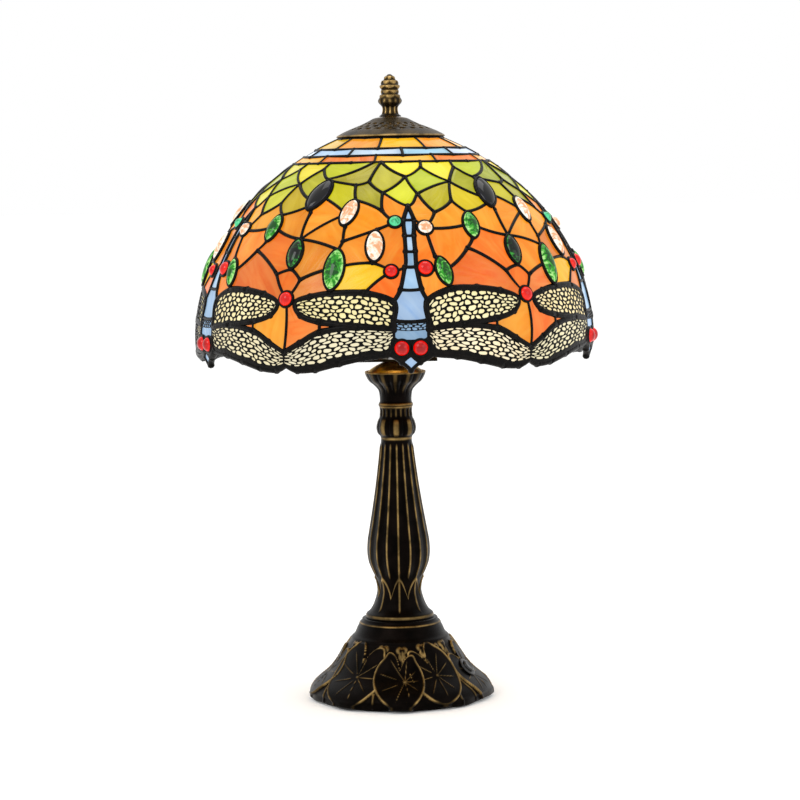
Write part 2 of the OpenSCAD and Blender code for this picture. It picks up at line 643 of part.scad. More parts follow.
dark_jewels();
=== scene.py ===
"""Leaded glass table lamp: dragonfly shade, pierced cap, harp, bulb and cast lily-pad base.

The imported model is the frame. Every piece here is worked out in millimetres in that frame, from
profiles, curves and one repeat of the glass pattern, and rides on the body it belongs to.
"""

import logging
import math
from dataclasses import dataclass, field
from enum import Enum

import bmesh
import bpy
import numpy as np
from mathutils import Matrix

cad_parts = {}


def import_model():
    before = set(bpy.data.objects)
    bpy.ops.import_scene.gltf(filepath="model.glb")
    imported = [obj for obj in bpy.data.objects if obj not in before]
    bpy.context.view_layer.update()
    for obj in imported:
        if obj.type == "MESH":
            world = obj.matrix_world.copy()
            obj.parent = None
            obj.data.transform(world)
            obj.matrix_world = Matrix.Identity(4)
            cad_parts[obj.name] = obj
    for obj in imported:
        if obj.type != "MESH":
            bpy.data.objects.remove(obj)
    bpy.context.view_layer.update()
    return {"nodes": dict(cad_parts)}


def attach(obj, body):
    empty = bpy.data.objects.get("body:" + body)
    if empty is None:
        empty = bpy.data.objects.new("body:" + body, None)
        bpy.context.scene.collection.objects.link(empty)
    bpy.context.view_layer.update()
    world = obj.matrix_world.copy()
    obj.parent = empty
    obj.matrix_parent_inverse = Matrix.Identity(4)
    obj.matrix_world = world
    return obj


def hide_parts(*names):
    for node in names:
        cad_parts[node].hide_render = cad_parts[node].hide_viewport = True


MM = 0.001
REPEATS = 5
REPEAT_DEG = 360.0 / REPEATS
SEED = 11
Array = np.ndarray
Layers = dict[str, Array]
log = logging.getLogger("lamp")


class Body(Enum):
    """The rigid bodies that pieces ride on."""

    LAMP = "lamp"
    SHADE = "shade"
    FINIAL = "finial"
    BULB = "bulb"
    BUTTON = "button"
    SLEEVE_LEFT = "sleeve_left"
    SLEEVE_RIGHT = "sleeve_right"


# ---- nodes and colours ----------------------------------------------------------------------
def linear(code: str) -> tuple[float, float, float, float]:
    """Turn an sRGB hex colour to linear light.

    Args:
        code: six hex digits after a hash.

    Returns:
        Red, green, blue and an alpha of one.
    """
    parts = [int(code[i : i + 2], 16) / 255 for i in (1, 3, 5)]
    r, g, b = (c / 12.92 if c <= 0.04045 else ((c + 0.055) / 1.055) ** 2.4 for c in parts)
    return r, g, b, 1.0


def add_node(tree: bpy.types.NodeTree, kind: str, inputs: dict | None = None, **settings) -> bpy.types.Node:
    """Add one node with its settings, input values and links.

    Args:
        tree: the material's node tree.
        kind: the node's type name.
        inputs: socket name or number to a value, or to an output socket to link from.
        settings: the node's own properties.

    Returns:
        The new node.
    """
    node = tree.nodes.new(kind)
    for name, value in settings.items():
        setattr(node, name, value)
    settle(tree, node, inputs or {})
    return node


def settle(tree: bpy.types.NodeTree, node: bpy.types.Node, values: dict) -> None:
    """Link or set a node's inputs, each by its name or number."""
    for key, value in values.items():
        if isinstance(value, bpy.types.NodeSocket):
            tree.links.new(value, node.inputs[key])
        else:
            node.inputs[key].default_value = value


def start_material(name: str) -> tuple[bpy.types.Material, bpy.types.NodeTree, bpy.types.Node]:
    """Make a material that holds one Principled shader.

    Args:
        name: the material's name.

    Returns:
        The material, its tree and the shader node.
    """
    material = bpy.data.materials.new(name)
    material.use_nodes = True
    tree = material.node_tree
    return material, tree, tree.nodes["Principled BSDF"]


def blotches(tree: bpy.types.NodeTree, size_mm: float, detail: float = 3.0, source=None) -> bpy.types.Node:
    """Noise whose features are about size_mm across.

    Args:
        tree: the material's node tree.
        size_mm: feature size in millimetres.
        detail: octaves of finer noise.
        source: a coordinate socket in millimetres, or None for the piece's own place.

    Returns:
        The noise node.
    """
    scale = 1.0 / size_mm
    if source is None:
        source = add_node(tree, "ShaderNodeTexCoord").outputs["Object"]
        scale = 1.0 / (size_mm * MM)
    return add_node(tree, "ShaderNodeTexNoise", {"Vector": source, "Scale": scale, "Detail": detail})


def ramp(tree: bpy.types.NodeTree, source, stops: list[tuple[float, str]]) -> bpy.types.NodeSocket:
    """A colour ramp over a value.

    Args:
        tree: the material's node tree.
        source: the value's socket.
        stops: positions with their hex colours, in rising order.

    Returns:
        The colour's socket.
    """
    node = add_node(tree, "ShaderNodeValToRGB", {"Fac": source})
    points = node.color_ramp.elements
    while len(points) < len(stops):
        points.new(0.5)
    for point, (place, code) in zip(points, stops):
        point.position = place
        point.color = linear(code)
    return node.outputs["Color"]


def blend(tree: bpy.types.NodeTree, amount, low, high, kind: str = "MIX") -> bpy.types.NodeSocket:
    """Mix two colours; each may be a socket or a linear colour."""
    mix = {0: amount, 6: low, 7: high}
    return add_node(tree, "ShaderNodeMix", mix, data_type="RGBA", blend_type=kind).outputs[2]


def bumped(tree: bpy.types.NodeTree, height, depth_mm: float) -> bpy.types.NodeSocket:
    """A bump normal from a height of 0 to 1 that stands for depth_mm."""
    node = add_node(tree, "ShaderNodeBump", {"Height": height, "Distance": depth_mm * MM, "Strength": 1.0})
    return node.outputs["Normal"]


def ranged(tree: bpy.types.NodeTree, value, span: tuple, onto: tuple = (0.0, 1.0)) -> bpy.types.NodeSocket:
    """A value stretched from one span onto another, and held at its ends."""
    node = add_node(tree, "ShaderNodeMapRange", {0: value, 1: span[0], 2: span[1], 3: onto[0], 4: onto[1]})
    return node.outputs[0]


def product(tree: bpy.types.NodeTree, one, other) -> bpy.types.NodeSocket:
    """Two values multiplied."""
    return add_node(tree, "ShaderNodeMath", {0: one, 1: other}, operation="MULTIPLY").outputs[0]


def attribute(tree: bpy.types.NodeTree, name: str, output: str = "Fac") -> bpy.types.NodeSocket:
    """A value that the mesh carries on its points."""
    return add_node(tree, "ShaderNodeAttribute", attribute_name=name).outputs[output]


# ---- finishes -------------------------------------------------------------------------------
BLACK = linear("#000000")


@dataclass(frozen=True)
class AntiqueBronze:
    """Cast metal, browned dark and rubbed back to gold on its raised edges.

    The hollows stay brown-black and dull, and what a cloth reaches is a warmer, smoother gold.
    """

    name: str = "cast_antique_bronze"
    hollow: str = "#030201"
    face: str = "#0d0806"
    edge: str = "#b4945a"
    rough_hollow: float = 0.42
    rough_edge: float = 0.34
    rubbed: bool = True

    def build(self) -> bpy.types.Material:
        """Make the material; the mesh's rub value of 0 to 1 says where it is worn."""
        material, tree, shader = start_material(self.name)
        patches = blotches(tree, 9.0, 5.0).outputs["Fac"]
        grain = blotches(tree, 0.9, 3.0).outputs["Fac"]
        brown = ramp(tree, patches, [(0.32, self.hollow), (0.68, self.face)])
        worn = attribute(tree, "rub") if self.rubbed else 0.12
        broken = ranged(tree, patches, (0.36, 0.62), (0.3, 1.0))
        amount = product(tree, ranged(tree, worn, (0.1, 0.85)), broken)
        settle(tree, shader, {
            "Base Color": blend(tree, amount, brown, linear(self.edge)),
            "Roughness": ranged(tree, amount, (0.0, 1.0), (self.rough_hollow, self.rough_edge)),
            "Metallic": 0.9, "Specular IOR Level": 0.15, "Normal": bumped(tree, grain, 0.08),
        })
        return material


@dataclass(frozen=True)
class PlainMetal:
    """Turned, drawn or plated metal with faint handling marks in its roughness."""

    name: str
    light: str
    dark: str
    rough: float = 0.32
    mark_mm: float = 4.0

    def build(self) -> bpy.types.Material:
        """Make the material."""
        material, tree, shader = start_material(self.name)
        marks = blotches(tree, self.mark_mm, 4.0).outputs["Fac"]
        settle(tree, shader, {
            "Base Color": ramp(tree, marks, [(0.3, self.dark), (0.7, self.light)]), "Metallic": 1.0,
            "Roughness": ranged(tree, marks, (0.0, 1.0), (self.rough + 0.12, self.rough - 0.08)),
        })
        return material


@dataclass(frozen=True)
class PatinaSolder:
    """Tin-lead solder run over copper foil and blackened with patina: soft gloss, lumpy to the eye."""

    name: str = "black_patina_solder"
    dark: str = "#020202"
    light: str = "#120e0b"

    def build(self) -> bpy.types.Material:
        """Make the material."""
        material, tree, shader = start_material(self.name)
        runs = blotches(tree, 3.0, 4.0).outputs["Fac"]
        settle(tree, shader, {
            "Base Color": ramp(tree, runs, [(0.35, self.dark), (0.75, self.light)]),
            "Metallic": 0.2, "Roughness": 0.36, "Specular IOR Level": 0.1, "Normal": bumped(tree, runs, 0.35),
        })
        return material


@dataclass(frozen=True)
class OpalGlass:
    """Rolled opalescent sheet glass with streaks of white and deeper colour in each pane; the bulb's light
    through it from behind is painted on as emission.
    """

    name: str = "rolled_opal_glass"
    streak_mm: float = 9.0
    glow: float = 0.93

    def build(self) -> bpy.types.Material:
        """Make the material; tint, painted glow and streak come with each pane, with streak in millimetres.
        """
        material, tree, shader = start_material(self.name)
        place = attribute(tree, "streak", "Vector")
        stretch = {"Vector": place, "Scale": (0.28, 1.0, 1.0)}
        long_ways = add_node(tree, "ShaderNodeMapping", stretch).outputs[0]
        streaks = blotches(tree, self.streak_mm, 4.0, long_ways)
        streaks.inputs["Distortion"].default_value = 0.9
        mottle = blotches(tree, 2.2, 2.0, place).outputs["Fac"]
        tint = attribute(tree, "tint", "Color")
        deep = blend(tree, 0.42, tint, tint, "MULTIPLY")
        pale = blend(tree, 0.05, tint, linear("#fff0b8"))
        body = ranged(tree, streaks.outputs["Fac"], (0.33, 0.66))
        colour = blend(tree, body, deep, pale)
        colour = blend(tree, ranged(tree, mottle, (0.35, 0.7), (0.0, 0.3)), colour, tint)
        # Painted light: the base colour is cut to a tenth and the colour is sent to emission, so the bulb's
        # light through the glass is painted on as a glow.
        settle(tree, shader, {
            "Base Color": blend(tree, 0.9, colour, BLACK), "Emission Color": colour,
            "Emission Strength": product(tree, attribute(tree, "glow"), self.glow),
            "Roughness": 0.16, "IOR": 1.52, "Specular IOR Level": 0.2,
            "Normal": bumped(tree, streaks.outputs["Fac"], 0.5),
        })
        return material


@dataclass(frozen=True)
class CastJewel:
    """A pressed glass cabochon with the bulb's light through it painted on: its thin edge passes the light
    and its thick middle holds it back.
    """

    name: str
    rim: str
    middle: str
    core: str
    # Strength of the painted glow.
    glow: float = 0.7
    cloud: float = 0.5

    def build(self) -> bpy.types.Material:
        """Make the material; the mesh's crown value runs from 0 at the edge to 1 at the top."""
        material, tree, shader = start_material(self.name)
        crown = attribute(tree, "crown")
        swirl = blotches(tree, 4.5, 3.0)
        swirl.inputs["Distortion"].default_value = 1.5
        terms = {0: ranged(tree, swirl.outputs["Fac"], (0.35, 0.65), (-0.5, 0.5)), 1: self.cloud, 2: crown}
        mixed = add_node(tree, "ShaderNodeMath", terms, operation="MULTIPLY_ADD").outputs[0]
        # The ramp from rim to core is partly the glass's own deeper colour where it is thick and partly
        # painted light: the bulb's light through the jewel.
        colour = ramp(tree, mixed, [(0.12, self.rim), (0.5, self.middle), (0.95, self.core)])
        # Painted light: the base colour is cut to under a fifth and the colour is sent to emission as a glow.
        settle(tree, shader, {
            "Base Color": blend(tree, 0.85, colour, BLACK), "Emission Color": colour,
            "Emission Strength": self.glow, "Roughness": 0.06, "IOR": 1.55, "Specular IOR Level": 0.3,
        })
        return material


@dataclass(frozen=True)
class MouldedPiece:
    """A non-metal with one colour, faint mottling and a fine surface texture."""

    name: str
    light: str
    dark: str
    rough: float = 0.4
    grain_mm: float = 0.8
    depth_mm: float = 0.02
    sheen: float = 0.0
    glow: float = 0.0

    def build(self) -> bpy.types.Material:
        """Make the material."""
        material, tree, shader = start_material(self.name)
        grain = blotches(tree, self.grain_mm, 3.0).outputs["Fac"]
        colour = ramp(tree, grain, [(0.3, self.dark), (0.7, self.light)])
        if self.glow:
            settle(tree, shader, {"Emission Color": colour, "Emission Strength": self.glow})
        settle(tree, shader, {
            "Base Color": colour, "Roughness": self.rough, "Sheen Weight": self.sheen,
            "Normal": bumped(tree, grain, self.depth_mm),
        })
        return material


# ---- surfaces -------------------------------------------------------------------------------
LAYER_KINDS = {1: ("FLOAT", "value"), 3: ("FLOAT_VECTOR", "vector"), 4: ("FLOAT_COLOR", "color")}


@dataclass
class Surface:
    """Points in millimetres, faces as index arrays of one width each, and values on the points."""

    points: Array
    faces: list[Array]
    layers: Layers = field(default_factory=dict)

    def piece(self, name: str, material: bpy.types.Material, body: Body, slot: str,
              nodes: tuple[str, ...]) -> bpy.types.Object:
        """Put the surface into a mesh, weld it, turn its faces outwards and make it ride.

        Args:
            name: the piece's name.
            material: its finish.
            body: the body it rides on.
            slot: a material slot's name; not used.
            nodes: the CAD nodes it stands for.

        Returns:
            The new object.
        """
        mesh = bpy.data.meshes.new(name)
        mesh.vertices.add(len(self.points))
        mesh.vertices.foreach_set("co", (self.points * MM).astype(np.float32).ravel())
        sizes = np.concatenate([np.full(len(f), f.shape[1], np.int32) for f in self.faces])
        loops = np.concatenate([f.astype(np.int32).ravel() for f in self.faces])
        mesh.loops.add(len(loops))
        mesh.loops.foreach_set("vertex_index", loops)
        mesh.polygons.add(len(sizes))
        starts = np.concatenate([[0], np.cumsum(sizes)[:-1]])
        mesh.polygons.foreach_set("loop_start", starts.astype(np.int32))
        mesh.update(calc_edges=True)
        for key, values in self.layers.items():
            kind, socket = LAYER_KINDS[1 if values.ndim == 1 else values.shape[1]]
            layer = mesh.attributes.new(key, kind, "POINT")
            layer.data.foreach_set(socket, values.astype(np.float32).ravel())
        weld_and_face_out(mesh)
        mesh.shade_smooth()
        mesh.materials.append(material)
        piece = bpy.data.objects.new(name, mesh)
        bpy.context.scene.collection.objects.link(piece)
        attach(piece, body.value)
        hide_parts(*nodes)
        log.info("%s: %d points, %d faces", name, len(mesh.vertices), len(mesh.polygons))
        return piece


def weld_and_face_out(mesh: bpy.types.Mesh) -> None:
    """Merge coincident points, drop faces with no area and make every face point outwards."""
    work = bmesh.new()
    work.from_mesh(mesh)
    bmesh.ops.remove_doubles(work, verts=work.verts, dist=2e-6)
    bmesh.ops.dissolve_degenerate(work, edges=work.edges, dist=1e-6)
    bmesh.ops.recalc_face_normals(work, faces=work.faces)
    work.to_mesh(mesh)
    work.free()


def joined(parts: list[Surface]) -> Surface:
    """Gather surfaces into one, keeping the values that all of them carry."""
    offsets = np.cumsum([0] + [len(p.points) for p in parts])
    widths = sorted({f.shape[1] for p in parts for f in p.faces})
    faces = [
        np.concatenate([f + o for p, o in zip(parts, offsets) for f in p.faces if f.shape[1] == w])
        for w in widths
    ]
    keys = set(parts[0].layers).intersection(*(p.layers for p in parts[1:]))
    return Surface(
        np.concatenate([p.points for p in parts]),
        faces,
        {k: np.concatenate([p.layers[k] for p in parts]) for k in sorted(keys)},
    )


def sheet_faces(rows: int, columns: int, wrap_rows: bool = False, wrap_columns: bool = False) -> Array:
    """Quads of a grid: each joins a point to its right, lower right and lower neighbours."""
    r = np.arange(rows if wrap_rows else rows - 1)[:, None]
    c = np.arange(columns if wrap_columns else columns - 1)[None, :]
    r2, c2 = (r + 1) % rows, (c + 1) % columns
    corners = (r * columns + c, r * columns + c2, r2 * columns + c2, r2 * columns + c)
    return np.stack([np.broadcast_to(k, (len(r), c.shape[1])).ravel() for k in corners], axis=1)


def turned(profile: Array, sides: int, swell=None, dressed: int | None = None) -> Surface:
    """Turn a profile of [radius, height] rows round the axis.

    Args:
        profile: the rows, in order along the surface.
        sides: steps round the axis.
        swell: None, or a function of (azimuth in degrees, radius, height) grids that gives
            how far the surface stands out, and its rub value.
        dressed: how many rows from the first the swell applies to, or None for all.

    Returns:
        The surface; a point is (r sin az, -r cos az, z).
    """
    az = np.linspace(0, 360, sides, endpoint=False)[None, :]
    radius, height = profile[:, :1], profile[:, 1:2]
    azimuth = np.broadcast_to(az, (len(profile), sides))
    out, rub = np.zeros_like(azimuth), np.zeros_like(azimuth)
    if swell is not None:
        worked = (np.arange(len(profile)) < (dressed or len(profile)))[:, None]
        out, rub = (value * worked for value in swell(azimuth, radius, height))
    step = np.gradient(profile, axis=0)
    step /= np.maximum(np.linalg.norm(step, axis=1, keepdims=True), 1e-9)
    r = np.maximum(radius + out * step[:, 1:2], 0) * (radius > 1e-6)
    z = height - out * step[:, :1]
    angle = np.radians(azimuth)
    points = np.stack([r * np.sin(angle), -r * np.cos(angle), np.broadcast_to(z, r.shape)], axis=-1)
    return Surface(points.reshape(-1, 3), [sheet_faces(len(profile), sides, wrap_columns=True)],
                   {"rub": np.clip(rub, 0, 1).ravel()})


def rounded(points: list, step: float = 1.0, sharp: bool = False) -> Array:
    """Run a smooth curve through a few points and space it evenly.

    Args:
        points: [radius, height] or [x, y, z] rows.
        step: spacing in millimetres.
        sharp: True to keep straight runs between the points.

    Returns:
        The rows of the even curve, which is a cardinal spline: between two points it is the
        cubic whose end slopes are half the chords of their neighbours.
    """
    p = np.asarray(points, float)
    if not sharp:
        padded = np.vstack([2 * p[0] - p[1], p, 2 * p[-1] - p[-2]])
        t = np.linspace(0, 1, 12, endpoint=False)[None, :, None]
        a, b, c, d = (padded[i : len(padded) - 3 + i][:, None, :] for i in range(4))
        square, cube = 2 * a - 5 * b + 4 * c - d, 3 * b - a - 3 * c + d
        run = 0.5 * (2 * b + (c - a) * t + square * t**2 + cube * t**3)
        p = np.vstack([run.reshape(-1, p.shape[1]), p[-1:]])
    along = np.concatenate([[0], np.cumsum(np.linalg.norm(np.diff(p, axis=0), axis=1))])
    even = np.linspace(0, along[-1], max(2, int(round(along[-1] / step)) + 1))
    return np.stack([np.interp(even, along, p[:, i]) for i in range(p.shape[1])], axis=1)


def swept(path: Array, out: Array, half_w: Array, half_h: Array, sides: int, closed: bool = False) -> Surface:
    """Carry an oval section along a path.

    Args:
        path: (n, 3) points.
        out: (n, 3) unit directions that the section's height lies along.
        half_w: (n,) half widths across the path.
        half_h: (n,) half heights.
        sides: points round the section.
        closed: True when the last point joins the first.

    Returns:
        The tube, with flat ends when it isn't closed.
    """
    ahead = (np.roll(path, -1, 0) - np.roll(path, 1, 0)) if closed else np.gradient(path, axis=0)
    across = np.cross(ahead, out)
    across /= np.maximum(np.linalg.norm(across, axis=1, keepdims=True), 1e-9)
    turn = 2 * math.pi * np.arange(sides) / sides
    ring = (
        np.cos(turn)[None, :, None] * (across * half_w[:, None])[:, None]
        + np.sin(turn)[None, :, None] * (out * half_h[:, None])[:, None]
    )
    n = len(path)
    points = (path[:, None] + ring).reshape(-1, 3)
    faces = [sheet_faces(n, sides, closed, True)]
    if not closed:
        ends = np.stack([np.arange(sides), (n - 1) * sides + np.arange(sides)])
        faces.append(ends)
    return Surface(points, faces)


def smooth_step(value: Array, low: float, high: float) -> Array:
    """A soft step: 0 below low, 1 above high, and an even s-curve between."""
    t = np.clip((value - low) / (high - low), 0, 1)
    return t * t * (3 - 2 * t)


def band(value: Array, rise: tuple[float, float], fall: tuple[float, float]) -> Array:
    """A soft step up over the rise, then one down over the fall."""
    return smooth_step(value, *rise) * (1 - smooth_step(value, *fall))


def bell(value: Array, width: float) -> Array:
    """A bell curve: 1 where the value is 0, and about a third a width away."""
    return np.exp(-((value / width) ** 2))


def off_line(angle: Array, line: float, pitch: float = 360.0) -> Array:
    """How far an angle is past the nearest of the lines that repeat every pitch."""
    return np.mod(angle - line + pitch / 2, pitch) - pitch / 2


# Twelve points round a brick-shaped cell, along and across it, from its middle.
BORDER_A = np.array([-2, -1, 0, 1, 2, 2, 2, 1, 0, -1, -2, -2]) / 4
BORDER_B = np.array([-1, -1, -1, -1, -1, 0, 1, 1, 1, 1, 1, 0]) / 2


def brick_places(rows: int, columns: int) -> tuple[Array, Array]:
    """The row and column of every cell."""
    grid = np.meshgrid(np.arange(rows), np.arange(columns), indexing="ij")
    return grid[0].ravel(), grid[1].ravel()


def ring_faces(cells: int) -> Array:
    """Quads between each cell's twelve border points and, after all of those, its hole's twelve."""
    k = np.arange(12)
    base, n, inside = np.arange(cells)[:, None] * 12, (k + 1) % 12, cells * 12
    return np.stack([base + k, base + n, inside + base + n, inside + base + k], axis=-1).reshape(-1, 4)


def thicken(piece: bpy.types.Object, thick: float, offset: float) -> None:
    """Give an open sheet a thickness in millimetres, on the side that the offset says."""
    solid = piece.modifiers.new("thickness", "SOLIDIFY")
    solid.thickness = thick * MM
    solid.offset = offset


# ---- the dome -------------------------------------------------------------------------------
@dataclass
class Dome:
    """The glass's outer face: one cubic curve from the top edge to the rim, turned round the axis."""

    crown: tuple[float, float] = (38.0, 431.0)
    shoulder: tuple[float, float] = (135.4, 391.7)
    flank: tuple[float, float] = (160.0, 300.8)
    rim: tuple[float, float] = (149.5, 262.0)
    turn_deg: float = 4.5

    def __post_init__(self) -> None:
        """Tabulate radius and height against the distance down the dome."""
        t = np.linspace(0, 1, 500)[:, None]
        p = [np.array(q) for q in (self.crown, self.shoulder, self.flank, self.rim)]
        curve = (1 - t) ** 3 * p[0] + 3 * t * (1 - t) ** 2 * p[1] + 3 * t * t * (1 - t) * p[2] + t**3 * p[3]
        self.drop = np.concatenate([[0], np.cumsum(np.linalg.norm(np.diff(curve, axis=0), axis=1))])
        self.curve = curve
        slope = np.gradient(curve, self.drop, axis=0)
        self.slope = slope / np.linalg.norm(slope, axis=1, keepdims=True)

    def radius(self, s: Array) -> Array:
        """Radius at drop s."""
        return np.interp(s, self.drop, self.curve[:, 0])

    def normal(self, u: Array, s: Array) -> Array:
        """Unit vector out of the glass at angle u and drop s."""
        a = np.radians(u + self.turn_deg)
        dr, dz = np.interp(s, self.drop, self.slope[:, 0]), np.interp(s, self.drop, self.slope[:, 1])
        return np.stack([-dz * np.sin(a), dz * np.cos(a), dr], axis=-1)

    def point(self, u: Array, s: Array, h=0.0) -> Array:
        """The point at angle u and drop s, h out from the glass's face."""
        a, r = np.radians(u + self.turn_deg), self.radius(s)
        z = np.interp(s, self.drop, self.curve[:, 1])
        face = np.stack([r * np.sin(a), -r * np.cos(a), z], axis=-1)
        return face + self.normal(u, s) * np.asarray(h)[..., None]


# Junctions of the seams in one repeat: degrees round the axis, and millimetres down the dome.
JUNCTIONS: dict[str, tuple[float, float]] = {
    # rings of the border
    "k1": (-33, 2), "k2": (-14, 2), "k3": (3, 2), "k4": (22, 2),
    "l1": (-33, 21.5), "l2": (-14, 21.5), "l3": (3, 21.5), "l4": (22, 21.5),
    "m1": (-33, 32), "m2": (-14, 32), "m3": (3, 32), "m4": (22, 32),
    "n1": (-27.5, 41.5), "n2": (-14, 41.5), "n3": (-10, 41.5), "n4": (1, 41.5),
    "n5": (12, 41.5), "n6": (22, 41.5), "n7": (31, 41.5),
    # canopy of leaves
    "g1": (-35, 61.5), "g2": (-20, 68.5), "g3": (-14.5, 65), "g4": (-8, 77), "g5": (2, 60),
    "g6": (11, 49), "g7": (22, 66.5), "g8": (6, 78.5), "g9": (30, 49.5), "g10": (-18.5, 84),
    "g12": (-8, 94.5), "g14": (11, 96.5), "g15": (19, 86),
    # long axes of the oval jewels
    "a2": (-34.5, 79), "a3": (-35, 86), "a4": (-35.5, 95.5), "b2": (-21, 97), "b3": (-20.5, 108.5),
    "c1": (-9.5, 111), "c3": (-10.5, 138), "d1": (23.5, 97), "d2": (23, 107.5), "d3": (22, 120.5),
    "e1": (36.5, 118.5), "e3": (36, 142.5), "f0": (-20.5, 120.5), "f1": (-21.5, 127.5),
    "f2": (-22.5, 142), "f3": (-22.5, 160.5), "h1": (8.5, 134), "h2": (11, 145), "h3": (12, 158.5),
    # round jewels
    "q1": (-3.5, 105), "q2": (6.5, 110.5), "q3": (-5, 145), "q4": (5, 143), "q5": (36, 165),
    # field
    "o1": (-32.5, 150.5), "o2": (31, 146.5), "o3": (19.5, 127.5),
    # tail and body, right then left
    "t0": (1.5, 90), "r1": (3, 103), "r2": (2.5, 116.5), "r3": (2.5, 129.5), "r4": (2.5, 141.5),
    "r5": (3.5, 158.5), "r6": (5, 167), "r7": (5, 181), "r8": (5, 187.5), "r9": (5, 195),
    "s1": (-0.5, 103), "s2": (-0.5, 116.5), "s3": (-0.5, 129.5), "s4": (-1, 141.5),
    "s5": (-2.5, 158.5), "s6": (-4.5, 167.5), "s7": (-4.5, 181), "s8": (-4.5, 187.5), "s9": (-4.5, 195),
    # wings
    "w2": (20, 158.5), "w3": (27.5, 161.5), "w4": (33, 167.5), "w5": (31, 176.5), "w6": (25, 181.5),
    "w7": (25, 188.5), "w8": (31, 196.5), "w9": (14.5, 185), "x2": (-12.5, 160.5), "x3": (-28.5, 163),
    "x4": (-33, 167.5), "x5": (-31, 176.5), "x6": (-25, 181.5), "x7": (-25, 188.5),
    "x8": (-31, 196.5), "x9": (-14.5, 185),
    # rim, and the seam between two dragonflies
    "v1": (36, 203.5), "v2": (36, 212.5), "y1": (32.5, 216.5), "y2": (27, 215.5), "y3": (20, 211),
    "y4": (13, 207), "y5": (6.5, 204.5), "z1": (-32.5, 216.5), "z2": (-27, 215.5), "z3": (-20, 211),
    "z4": (-13, 207), "z5": (-6.5, 204.5), "p1": (0, 205.5), "p2": (2.5, 211), "p3": (0, 217),
    "p4": (-2.5, 211),
}
# Runs of seams that are one flowing line; + marks the next repeat and - the one before.
FLOWING = (
    "r8 r7 r6 h3 w2 w3 w4 w5 w6 w9 r8", "r8 w9 w7 w8 v1", "v2 y1 y2 y3 y4 y5 r9",
    "s8 s7 s6 x2 f3 x3 x4 x5 x6 x9 s8", "s8 x9 x7 x8 v1-", "v2- z1 z2 z3 z4 z5 s9",
    "t0 r1 r2 r3 r4 r5 r6", "t0 s1 s2 s3 s4 s5 s6", "s3 s4 q3", "g4 t0 g8", "n4 g5", "g2 g1 g9-",
    "g3 g5 g6", "g10 b3 f0 f1 f2 f3", "a2 a4 b3", "q2 h1 h2 h3", "q1 c1 f0", "e3 o1", "g12 g14",
)
THIN_BEAD = 1.6
THICK_RUNS = {0: 2.5, 1: 2.5, 2: 2.6, 3: 2.5, 4: 2.5, 5: 2.6, 6: 2.0, 7: 2.0}


@dataclass(frozen=True)
class PaneGroup:
    """Panes of one CAD node: each row is the pane's seams in order, then its hex colour."""

    name: str
    node: str
    slot: str
    rows: tuple[tuple[str, str], ...]
    whitish: float = 0.0
    # Strength of the painted glow of the bulb's light through these panes.
    glow: float = 1.0


